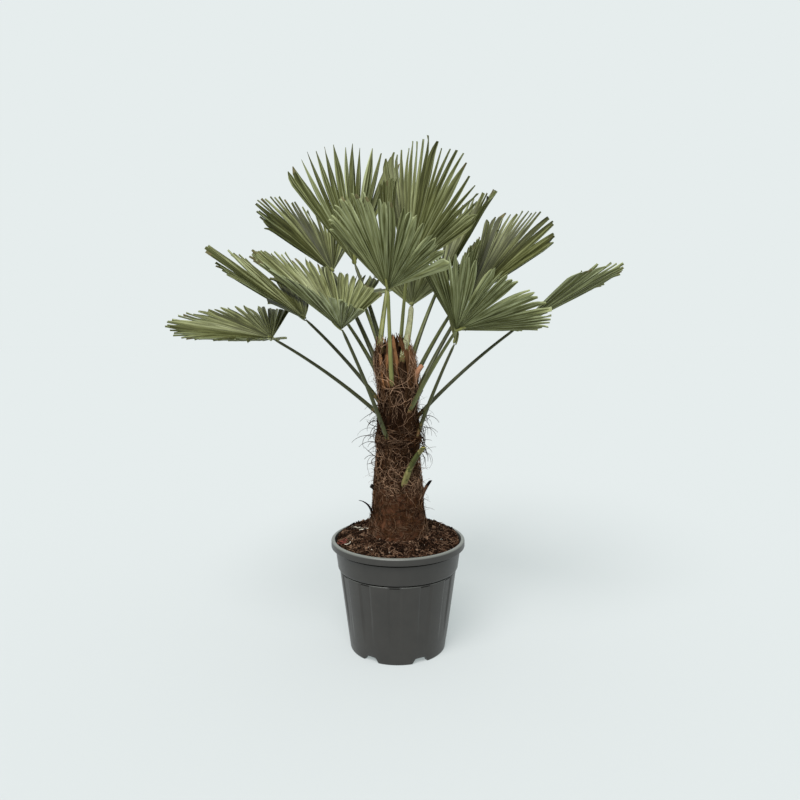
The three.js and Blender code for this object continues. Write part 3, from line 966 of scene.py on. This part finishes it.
class PALM_OT_trunk(bpy.types.Operator):
    """Builds the trunk with its felt of fibre in relief"""

    bl_idname = "palm.trunk"
    bl_label = "Trunk"

    def execute(self, context):
        settings = context.scene.palm_trunk
        low = TRUNK_PROFILE[0][0]
        rings, sides = 230, 190
        bm = bmesh.new()
        places = []
        for i in range(rings + 1):
            z = low + (CORE_TOP - low) * i / rings
            drawn_in = CORE_INSIDE + CORE_SLOPE * max(0.0, z - CORE_SHRINKS)
            radius = max(4.0, float(trunk_radius(z)) - drawn_in)
            centre = (float(trunk_centre_x(z)), 0, z)
            places.append(frame_matrix(centre, (radius, 0, 0), (0, radius, 0), (0, 0, 1)))
        sweep(bm, places, sides)
        for vert in bm.verts:
            z = vert.co.z
            out = Vector((vert.co.x - float(trunk_centre_x(z)), vert.co.y, 0))
            if out.length > 1 and z > low + 0.5:
                vert.co += out.normalized() * trunk_relief(vert.co)
        for face in bm.faces:
            place = face.calc_center_median()
            z = place.z + 22 * noise.noise(place / 26)
            face.material_index = sum(z >= height for height in FELT_BANDS)
        # Matted sheath fibre: it swallows light, so its relief shows only as soft dark hollows.
        tones = shades(settings.bark, 2.1, 0.55, 0.5, 0.6)
        felts = naturals("palm_fibre_felt", tones, 0.9, 0.6, 12, 2.2, 1.4, 1.6)
        piece = piece_from_bmesh("trunk_felt", bm, felts)
        dress(piece, "trunk", "trunk")
        return {"FINISHED"}


def boot(bm, bearing, height, width, tall, lean, ragged, material, thick=2.2):
    """An old leaf base: a thin plate that hugs the trunk, leans off and frays at its top."""
    made = bmesh.ops.create_grid(bm, x_segments=10, y_segments=12, size=1)["verts"]
    for vert in made:
        u, v = vert.co.x, (vert.co.y + 1) / 2
        teeth = 0.5 + 0.5 * noise.noise((u * 3.7 + 9, bearing * 5, height / 40))
        v *= 1 - 0.1 * u * u - ragged * teeth
        half = width / 2 * (1 - 0.45 * v**1.4)
        z = height + v * tall
        lift = 1.0 + lean * v**2.2 - 2.5 * u * u * (1 - v)
        lift += noise.noise((u * 3, v * 6, bearing)) * 1.6
        turn = bearing + u * half / float(cover_radius(z))
        vert.co = Vector(on_cover(turn, z, lift))
    faces = faces_of(made)
    bmesh.ops.recalc_face_normals(bm, faces=faces)
    bmesh.ops.solidify(bm, geom=faces, thickness=thick)
    paint(faces_of(made), material)


class PALM_OT_leaf_bases(bpy.types.Operator):
    """Builds the old leaf bases and the sheaths of the crown"""

    bl_idname = "palm.leaf_bases"
    bl_label = "Old leaf bases"

    def execute(self, context):
        settings = context.scene.palm_trunk
        # Old leaf bases: weathered husk, streaked along its grain, with no shine. The newest cut
        # is still orange and shows smooth pith.
        husk = shades(settings.boots, 0.18, 0.5, 1.1, 1.9)
        materials = naturals("leaf_base", husk, 0.8, 0.55, 7, 1.6, 0.8, 8)
        materials.append(natural("cut_leaf_base", linear(0xA2765A), 0.85, 0.3, 6, 1.5, 0.6))
        rng = np.random.default_rng(SEEDS["leaf_bases"])
        bm = bmesh.new()
        golden = math.radians(137.5)
        for i in range(14):
            # Low ones, worn down to ragged scales of felt.
            boot(
                bm, i * golden, 455 + 14 * i, rng.uniform(26, 44), rng.uniform(26, 44),
                rng.uniform(3, 7), 0.5, 0,
            )
        for i in range(20):
            boot(
                bm, i * golden + 1, 690 + 6 * i, rng.uniform(18, 36), rng.uniform(56, 92),
                rng.uniform(0, 5), 0.45, int(rng.choice([0, 0, 0, 1, 1])),
            )
        for i in range(17):
            low = rng.uniform(772, 838)
            bearing = math.radians(CROWN_OPENING + 30 + 300 * (i + rng.random()) / 17)
            boot(
                bm, bearing, low, rng.uniform(16, 34),
                min(rng.uniform(110, 160), SHEATHS_TOP - low), rng.uniform(-3, 6), 0.3,
                int(rng.choice([1, 1, 2, 2, 3])),
            )
        for (foot, bearing), *_ in FRONDS:
            # The base that a stalk grows out of.
            boot(
                bm, math.radians(bearing), foot - 52, rng.uniform(24, 34), rng.uniform(68, 80),
                rng.uniform(5, 8), 0.3, int(rng.integers(0, 2)) if foot > 720 else 0,
            )
        for turn in (-30, -23, -16, -9, -3, 34, 41):
            # Young sheaths stand inside the open front of the crown.
            boot(
                bm, math.radians(CROWN_OPENING + turn), 814, rng.uniform(12, 18),
                rng.uniform(128, 150), -rng.uniform(12, 26), 0.16, int(rng.choice([1, 1, 2, 2])),
            )
        # A cut base on the right, still orange inside.
        boot(bm, math.radians(352), 797, 40, 52, 25, 0.05, 4, 12)
        piece = piece_from_bmesh("leaf_bases", bm, materials)
        dress(piece, "trunk")
        return {"FINISHED"}


def starts(rng, count, heights, lengths):
    """Height, bearing and length of fibres all round the trunk."""
    ranges = (heights, (0, 2 * np.pi), lengths)
    return [rng.uniform(*limits, (count, 1)) for limits in ranges]


def strand_paths(rng, count, steps, heights, wander, lengths, lifts, slant, heading):
    """Fibre strands that wander over the trunk: paths and their outward directions.

    heading is their mean direction in radians: 0 is upright and pi / 2 level.
    """
    height, bearing, length = starts(rng, count, heights, lengths)
    course = heading + rng.normal(0, slant, (count, 1)) + np.pi * rng.integers(0, 2, (count, 1))
    course = course + np.cumsum(rng.normal(0, wander, (count, steps)), axis=1)
    stride = length / steps
    z = height + np.cumsum(stride * np.cos(course), axis=1)
    # Strands that would reach past the crown turn back, and none goes into the soil.
    top = rng.uniform(*FIBRE_TURNS, (count, 1))
    z = np.clip(np.where(z > top, 2 * top - z, z), FIBRE_LOW, FIBRE_HIGH)
    turn = bearing + np.cumsum(stride * np.sin(course), axis=1) / cover_radius(height)
    t = np.linspace(-1, 1, steps)
    lift = rng.uniform(*lifts, (count, 1)) + rng.uniform(0, 4, (count, 1)) * t**4
    lift = lift + rng.normal(0, 0.5, (count, steps)) - 2.5
    away = np.stack([np.cos(turn), np.sin(turn), np.zeros_like(turn)], axis=-1)
    # In the open front of the crown they lie on the young sheaths, clear of the pale stalk.
    aside = turn_from(np.degrees(turn), CROWN_OPENING)
    lift = lift - 16 * np.clip(2 - np.abs(aside + 8) / 16, 0, 1) * np.clip((z - 850) / 30, 0, 1)
    keep = np.all((np.abs(aside - 11) > 12) | (z < 862), axis=1)
    return on_cover(turn, z, lift)[keep], away[keep]


def hair_paths(rng, count, heights, lengths, droop):
    """Loose fibres that leave the trunk and droop in a curve."""
    steps = 12
    height, bearing, length = starts(rng, count, heights, lengths)
    t = np.linspace(0, 1, steps)
    rise = rng.normal(0.5, 0.55, (count, 1)) - rng.normal(droop, 0.9, (count, 1)) * t
    swing = rng.normal(0, 0.7, (count, 1)) + rng.normal(0, 1.0, (count, 1)) * t
    stride = length / steps
    out = np.cumsum(stride * np.cos(rise) * np.cos(swing), axis=1)
    around = np.cumsum(stride * np.cos(rise) * np.sin(swing), axis=1)
    up = np.cumsum(stride * np.sin(rise), axis=1)
    foot = on_trunk(bearing, height, -2.0)
    radial = np.stack([np.cos(bearing), np.sin(bearing), 0 * bearing], axis=-1)
    sideways = np.stack([-np.sin(bearing), np.cos(bearing), 0 * bearing], axis=-1)
    paths = foot + radial * out[..., None] + sideways * around[..., None]
    paths[..., 2] += up
    away = np.broadcast_to(sideways, paths.shape) + 0.3
    return paths, away


def strand_part(paths, away, radius, rng, tints):
    """Tubes for strands, each with one of the tints."""
    count, steps, _ = paths.shape
    t = np.linspace(0, 1, steps)
    radii = radius * rng.uniform(0.6, 1.25, (count, 1)) * (1 - 0.55 * t**2)
    points, quads, ends = tubes(paths, radii, away, STRAND_SIDES)
    tint = rng.choice(tints, count)
    per_quad = np.repeat(tint, (steps - 1) * STRAND_SIDES)
    return points, [quads, ends], np.concatenate([per_quad, tint, tint]), None


class PALM_OT_fibre(bpy.types.Operator):
    """Builds the fibre strands on the trunk and the loose ones that stand off it"""

    bl_idname = "palm.fibre"
    bl_label = "Fibre"

    def execute(self, context):
        settings = context.scene.palm_trunk
        radius = settings.strand_radius / MM
        # Loose sheath fibre: stiff dull hair, from nearly black when young to bleached tan. Real
        # ones are 0.3 mm thick, and are drawn about 1.6 mm thick, so that they show.
        tones = shades(settings.dark, 0.6, 1, 2.6) + shades(settings.pale, 0.45, 0.9, 1.8)
        materials = naturals("palm_fibre", tones, 0.75, 0.2, 20, 3, 0.2)
        rng, tuft_rng = [np.random.default_rng(SEEDS[name]) for name in ("fibre", "tufts")]
        many, few, hairs = settings.strands, settings.pale_strands, settings.hairs
        # Count, steps, heights, wander, lengths, lifts, slant, heading, radius and tints.
        rows = {
            "fibre_dark": [
                (many // 2, 8, (345, 700), 0.5, (25, 80), (0.5, 3.5), 1.2, 0.0, 0.9, [0, 1, 1, 2]),
                (many // 6, 8, (700, 930), 0.2, (45, 120), (0.5, 5), 0.3, 0.0, 0.6, [0, 0, 1]),
                (many // 5, 7, (345, 520), 0.6, (15, 50), (1, 4), 1.2, 0.0, 0.8, [2, 3]),
            ],
            "fibre_pale": [
                (few // 3, 12, (740, 930), 0.32, (40, 120), (4, 12), 0.2, 0.0, 0.7, [3, 4, 4, 5]),
                (few // 5, 9, (722, 780), 0.35, (22, 55), (3, 8), 0.3, 0.0, 0.65, [3, 4, 4]),
                (few // 2, 10, (475, 605), 0.6, (30, 80), (1.5, 5), 1.2, 0.0, 0.72, [3, 4, 4, 5]),
                (few // 7, 10, (626, 642), 0.16, (35, 100), (3, 8), 0.12, 1.57, 0.62, [2, 3, 4]),
                (few // 40, 10, (650, 670), 0.1, (60, 90), (2, 5), 0.1, 1.5, 0.6, [4]),
                (few // 4, 11, (343, 385), 0.35, (25, 70), (2, 7), 0.35, 1.57, 0.65, [2, 3, 3, 4]),
            ],
        }
        # Random generator, count, heights, lengths, droop, radius and tints. The darkest hang in
        # tufts below the collar of the trunk.
        hair_rows = {
            "fibre_dark": [
                (rng, hairs // 3, (575, 735), (30, 95), 1.5, 1.25, [0, 0, 1]),
                (tuft_rng, hairs // 4, (570, 725), (35, 85), 2.2, 1.5, [0, 0, 1]),
                (rng, hairs // 3, (400, 560), (14, 40), 0.6, 0.6, [1, 2, 3]),
            ],
            "fibre_pale": [(rng, hairs // 2, (480, 900), (14, 52), 0.8, 0.5, [2, 3])],
        }
        for name, groups in rows.items():
            parts = []
            for *shape, size, tints in groups:
                parts.append(strand_part(*strand_paths(rng, *shape), radius * size, rng, tints))
            for draw, *shape, size, tints in hair_rows[name]:
                parts.append(strand_part(*hair_paths(draw, *shape), radius * size, draw, tints))
            dress(piece_from_arrays(name, parts, materials), "trunk")
        return {"FINISHED"}


# Soil


def soil_height(x, y):
    """The mound's height: it is heaped higher against the back of the pot."""
    radius = np.hypot(x, y)
    heap = np.clip((radius - 95) / 70, 0, 1) * np.clip(0.35 + y / 190, 0, 1)
    return np.interp(radius, *zip(*SOIL_MOUND)) + SOIL_HEAP * heap


def scattered(rng, count, outer, spot):
    """Places on the soil: all over the ring, or round a spot (x, y, spread)."""
    if spot:
        return spot[0] + rng.normal(0, spot[2], count), spot[1] + rng.normal(0, spot[2], count)
    radius = np.sqrt(rng.uniform(LITTER_INNER**2, outer**2, count))
    bearing = rng.uniform(0, 2 * np.pi, count)
    return radius * np.cos(bearing), radius * np.sin(bearing)


def chip_part(rng, count, size, tints, high, spot=None):
    """Bark chips: small bent slabs that lie any way on the mound, darker in the damp places."""
    square = np.array([(-1, -1), (1, -1), (1, 1), (-1, 1)])
    corners = np.array([(x, y, z) for z in (-1, 1) for x, y in square], float)
    quads = np.array([
        (0, 3, 2, 1), (4, 5, 6, 7), (0, 1, 5, 4), (1, 2, 6, 5), (2, 3, 7, 6), (3, 0, 4, 7),
    ])
    shape = corners + rng.uniform(-0.45, 0.45, (count, 8, 3))
    scale = size * rng.uniform(0.35, 1.0, (count, 1, 1)) * np.array([1.0, 0.55, 0.2])
    shape = shape * scale * rng.uniform(0.7, 1.3, (count, 1, 3))
    yaw = rng.uniform(0, 2 * np.pi, count)
    tip, lean = rng.normal(0, 0.55, (2, count))
    for angle, (a, b) in ((lean, (1, 2)), (tip, (0, 2)), (yaw, (0, 1))):
        c, s = np.cos(angle)[:, None], np.sin(angle)[:, None]
        first, second = shape[:, :, a].copy(), shape[:, :, b].copy()
        shape[:, :, a], shape[:, :, b] = c * first - s * second, s * first + c * second
    x, y = scattered(rng, count, CHIPS_OUTER, spot)
    place = np.stack([x, y, soil_height(x, y) + rng.uniform(-1, high, count)], axis=1)
    points = (shape + place[:, None]).reshape(-1, 3)
    reach = np.hypot(points[:, 0], points[:, 1])
    points[:, :2] *= np.minimum(1, CHIPS_LIMIT / np.maximum(reach, 1))[:, None]
    faces = (quads[None] + 8 * np.arange(count)[:, None, None]).reshape(-1, 4)
    tint = rng.choice(tints, count)
    if not spot:
        damp = np.array([noise.noise((a / 26, b / 26, 3)) for a, b in zip(x, y)])
        tint = np.where((damp < -0.12) & (tint < 4), tint // 2, tint)
    return points, [faces], np.repeat(tint, 6), None


def coir_part(rng, count, tints, size=0.7, spot=None):
    """Short curled coir fibres that lie on the mound."""
    steps = 7
    x, y = scattered(rng, count, COIR_OUTER, spot)
    x, y = x[:, None], y[:, None]
    heading = rng.uniform(0, 2 * np.pi, (count, 1))
    heading = heading + np.cumsum(rng.normal(0, 0.4, (count, steps)), axis=1)
    stride = rng.uniform(2, 7, (count, 1))
    x = x + np.cumsum(stride * np.cos(heading), axis=1)
    y = y + np.cumsum(stride * np.sin(heading), axis=1)
    squeeze = np.minimum(1, COIR_LIMIT / np.hypot(x, y))
    x, y = x * squeeze, y * squeeze
    z = soil_height(x, y) + rng.uniform(3, 9, (count, 1)) + rng.normal(0, 0.8, x.shape)
    paths = np.stack([x, y, z], axis=-1)
    away = np.broadcast_to(np.array([0.1, 0.05, 1.0]), paths.shape)
    return strand_part(paths, away, size, rng, tints)


class PALM_OT_soil(bpy.types.Operator):
    """Builds the potting mix with its bark chips and coir"""

    bl_idname = "palm.soil"
    bl_label = "Soil"

    def execute(self, context):
        settings = context.scene.palm_pot
        edge, base = (
            wall_radius(z) - POT_WALL - SOIL_GAP for z in (POT_RIM_BOTTOM, POT_FLOOR_TOP)
        )
        mound = [(r, float(np.interp(r, *zip(*SOIL_MOUND)))) for r in np.linspace(0, edge, 62)]
        profile = [(0, POT_FLOOR_TOP + 0.5), (base, POT_FLOOR_TOP + 0.5), *reversed(mound)]
        bm = bmesh.new()
        lathe(bm, profile, SOIL_TURNED_STEPS)
        for vert in bm.verts:
            x, y, z = vert.co
            # Only the top is lumpy. The rest can't be seen.
            if z > POT_BAND_BOTTOM:
                lumps = noise.noise((x / 14, y / 14, 0)) * 6 + noise.noise((x / 5, y / 5, 4)) * 2
                vert.co.z = float(soil_height(x, y)) + lumps - 1.5
        # Damp peat: nearly black between the chips, with no shine.
        mix = natural("potting_mix", settings.soil, 0.95, 0.6, 9, 1.6, 1.5)
        piece = piece_from_bmesh("potting_mix", bm, [mix])
        dress(piece, "soil", "soil")

        # Composted pine bark: dull chips from near black when damp to pinkish tan when dry. A
        # few are bleached white or fresh red.
        tones = shades(settings.chip, 0.22, 0.55, 1.15)
        tones += [linear(hex_colour) for hex_colour in (0x725A48, 0xC9C2B2, 0x6A3A33)]
        rng = np.random.default_rng(SEEDS["soil"])
        chips = piece_from_arrays(
            "bark_chips",
            [
                chip_part(rng, settings.chips, 8.5, [0, 0, 0, 0, 1, 1, 2, 3], 5.0),
                chip_part(rng, settings.chips // 3, 3.2, [0, 1, 2, 3], 8.0),
                chip_part(rng, 60, 2.6, [4], 9.0),
                coir_part(rng, 2000, [1, 2, 3, 3]),
                coir_part(rng, 9, [4], 1.5, (-112, 62, 11)),
                coir_part(rng, 3, [4], 1.6, (-136, -37, 4)),
                chip_part(rng, 34, 7.0, [5], 9.0, (-160, -34, 8)),
            ],
            naturals("bark_chip", tones, 0.85, 0.35, 6, 1.2, 0.5),
        )
        dress(chips, "soil")
        return {"FINISHED"}


# Pot


def wall_radius(height):
    """The pot's outer wall below the band."""
    return POT_FOOT_RADIUS + POT_DRAFT * height


def pot_profile():
    """The pot's section, from the middle of the underside out, up, over the rim and in."""
    foot = [(r, 0.0) for r in np.linspace(132, POT_FOOT_RADIUS - 2, 4)]
    outer = [(wall_radius(z), z) for z in np.linspace(3, POT_BAND_BOTTOM - 9, 45)]
    groove, step = wall_radius(POT_BAND_BOTTOM) - 3, wall_radius(POT_RIM_BOTTOM) + POT_BAND_PROUD
    outer += [
        (wall_radius(POT_BAND_BOTTOM - 4.5), POT_BAND_BOTTOM - 4.5), (groove, POT_BAND_BOTTOM - 4),
    ]
    band = [
        (wall_radius(z) + POT_BAND_PROUD, z)
        for z in (*np.linspace(POT_BAND_BOTTOM + 3, POT_RIM_BOTTOM - 7.5, 12), POT_RIM_BOTTOM - 1)
    ]
    # The rolled rim is open below, so a dark gap shows under its lip.
    rim = [
        (step, POT_RIM_BOTTOM + 2), (step, POT_RIM_BOTTOM + 11),
        (POT_RIM_RADIUS - 5, POT_RIM_BOTTOM + 12),
        (POT_RIM_RADIUS - 4, POT_RIM_BOTTOM + 1),
        *arc((POT_RIM_RADIUS - 1.5, POT_RIM_BOTTOM + 1.5), 1.5, -90, 0, 3),
        (POT_RIM_RADIUS, POT_RIM_BOTTOM + 8), (POT_RIM_RADIUS - 0.4, POT_RIM_BOTTOM + 12),
        *arc((POT_RIM_RADIUS - 6, POT_RIM_TOP - 6), 6, 10, 90, 7),
        *arc((POT_RIM_RADIUS - 9, POT_RIM_TOP - 2), 2, 90, 180, 3),
    ]
    inner_top = [(wall_radius(z) - POT_WALL, z) for z in np.linspace(POT_RIM_BOTTOM, 22, 24)]
    return [
        (0, 0), (40, 0), (70, 0), (86, 16), (116, 16), *foot,
        (POT_FOOT_RADIUS - 0.6, 0.8), *outer, (groove, POT_BAND_BOTTOM - 0.5),
        (wall_radius(POT_BAND_BOTTOM) + POT_BAND_PROUD - 0.8, POT_BAND_BOTTOM + 0.4),
        *band, *rim, *inner_top, (wall_radius(POT_FLOOR_TOP) - POT_WALL - 4, POT_FLOOR_TOP),
        (0, POT_FLOOR_TOP),
    ]


def pot_shape(vert, flute_depth):
    """Cuts the drain notches into the foot and presses dimples and flutes into the wall."""
    x, y, z = vert.co
    radius = math.hypot(x, y)
    if radius < 1 or z > POT_BAND_BOTTOM:
        return
    bearing = math.degrees(math.atan2(y, x))
    outer = radius > wall_radius(z) - 1.2
    pull = 0.0
    for n in range(POT_NOTCHES):
        away = turn_from(bearing, POT_NOTCH_FIRST + 360 / POT_NOTCHES * n)
        half = math.degrees(POT_NOTCH_WIDTH / 2 / POT_FOOT_RADIUS)
        if abs(away) < half and radius > 100:
            arch = POT_NOTCH_HEIGHT * min(1.0, 1.6 * math.cos(away / half * math.pi / 2) ** 0.8)
            if z < arch:
                vert.co.z = arch
        if outer:
            fade = max(0.0, 1 - z / DIMPLE_TOP) ** 2
            pull += DIMPLE_DEPTH * math.exp(-((away / DIMPLE_ANGLE) ** 2)) * fade
    for n in range(FLUTE_PLACES):
        if n in FLUTES_LEFT_OUT or not outer:
            continue
        away = abs(turn_from(bearing, POT_NOTCH_FIRST + 360 / FLUTE_PLACES * n))
        side = clamp((FLUTE_HALF_ANGLE - away) / 3.0)
        ends = clamp((z - FLUTE_FOOT) / 90) * clamp((POT_BAND_BOTTOM - 3 - z) / 5)
        pull += flute_depth * side * side * (3 - 2 * side) * ends
    if pull:
        vert.co.x -= x / radius * pull
        vert.co.y -= y / radius * pull


class PALM_OT_pot(bpy.types.Operator):
    """Builds the moulded pot"""

    bl_idname = "palm.pot"
    bl_label = "Pot"

    def execute(self, context):
        settings = context.scene.palm_pot
        bm = bmesh.new()
        lathe(bm, pot_profile(), POT_TURNED_STEPS)
        for vert in bm.verts:
            pot_shape(vert, settings.flute_depth / MM)
        bmesh.ops.recalc_face_normals(bm, faces=bm.faces)
        # Faces just under the band and under the rim's lip are marked for the painted shade.
        for face in bm.faces:
            x, y, z = face.calc_center_median()
            under_band = POT_BAND_BOTTOM - 4.6 < z < POT_BAND_BOTTOM + 0.3
            under_rim = POT_RIM_BOTTOM - 7 < z < POT_RIM_BOTTOM + 12
            under_rim &= wall_radius(z) < math.hypot(x, y) < POT_RIM_RADIUS - 3.5
            if under_band or under_rim:
                face.material_index = 1
        # Painted shade: the faces just below the rim's lip and the band get a darker, matt copy of
        # the plastic, which stands in for the shadow there.
        painted_shade = natural(
            "painted_shade_under_rim_and_band", shade(settings.pot, 0.5), 0.95, 0.2, 8, 1.5, 0.1, gloss=0,
        )
        plastic = moulded_plastic("moulded_polypropylene", settings.pot)
        piece = piece_from_bmesh("pot_shell", bm, [plastic, painted_shade])
        dress(piece, "pot", "pot")
        return {"FINISHED"}


# Stage


class PALM_OT_stage(bpy.types.Operator):
    """Sets the floor, the light and the camera"""

    bl_idname = "palm.stage"
    bl_label = "Stage"

    def execute(self, context):
        settings = context.scene.palm_stage
        bm = bmesh.new()
        bmesh.ops.create_circle(bm, cap_ends=True, segments=96, radius=FLOOR_RADIUS)
        # The floor is a light table of opal acrylic. Its glow and the light that it gives back
        # add up to the background, so that no edge shows and shadows stay faint.
        level = settings.backdrop[1] * settings.key_strength
        matt = surface("opal_acrylic_sheet", 1.0, 1.49, **{
            "Base Color": (*[FLOOR_WHITE] * 3, 1),
            "Specular IOR Level": 0.0,
            "Emission Color": (*[c - FLOOR_WHITE * (c + level) for c in settings.backdrop], 1),
            "Emission Strength": 1.0,
        })[0]
        floor = piece_from_bmesh("floor", bm, [matt])

        world = bpy.data.worlds.new("studio")
        world.use_nodes = True
        world.node_tree.nodes.clear()
        sky = add(
            world.node_tree, "ShaderNodeBackground",
            {"Color": (*settings.backdrop, 1), "Strength": 1.0},
        )
        add(world.node_tree, "ShaderNodeOutputWorld", links={"Surface": sky.outputs["Background"]})
        context.scene.world = world
        context.scene.view_settings.view_transform = "Standard"

        toward = Vector(settings.key_direction).normalized()
        key = bpy.data.lights.new("key", "SUN")
        key.angle = KEY_SPREAD
        key.energy = level * math.pi / toward.z
        add_object("key", key).rotation_euler = toward.to_track_quat("Z", "Y").to_euler()

        lens = bpy.data.cameras.new("camera")
        lens.lens = settings.focal_length
        lens.sensor_width = SENSOR_WIDTH
        camera = add_object("camera", lens)
        camera.location = settings.camera_place
        camera.rotation_euler = (math.radians(90) - settings.camera_pitch, 0, 0)
        context.scene.camera = camera
        return {"FINISHED"}


class PALM_PT_panel(bpy.types.Panel):
    """Lists the pieces of the palm"""

    bl_label = "Potted palm"
    bl_idname = "PALM_PT_panel"
    bl_space_type = "VIEW_3D"
    bl_region_type = "UI"
    bl_category = "Palm"

    def draw(self, context):
        for operator in OPERATORS:
            self.layout.operator(operator.bl_idname)


GROUPS = {
    "palm_leaf": PalmLeafSettings,
    "palm_trunk": PalmTrunkSettings,
    "palm_pot": PalmPotSettings,
    "palm_stage": PalmStageSettings,
}
OPERATORS = (
    PALM_OT_stage, PALM_OT_pot, PALM_OT_soil, PALM_OT_trunk, PALM_OT_leaf_bases, PALM_OT_fibre,
    PALM_OT_stalks, PALM_OT_stumps, PALM_OT_leaves,
)


def register():
    for kind in (*GROUPS.values(), *OPERATORS, PALM_PT_panel):
        bpy.utils.register_class(kind)
    for name, group in GROUPS.items():
        setattr(bpy.types.Scene, name, bpy.props.PointerProperty(type=group))


def unregister():
    for name in GROUPS:
        delattr(bpy.types.Scene, name)
    for kind in (PALM_PT_panel, *reversed(OPERATORS), *reversed(GROUPS.values())):
        bpy.utils.unregister_class(kind)


def main():
    register()
    for operator in OPERATORS:
        group, name = operator.bl_idname.split(".")
        getattr(getattr(bpy.ops, group), name)()


if __name__ == "__main__":
    main()
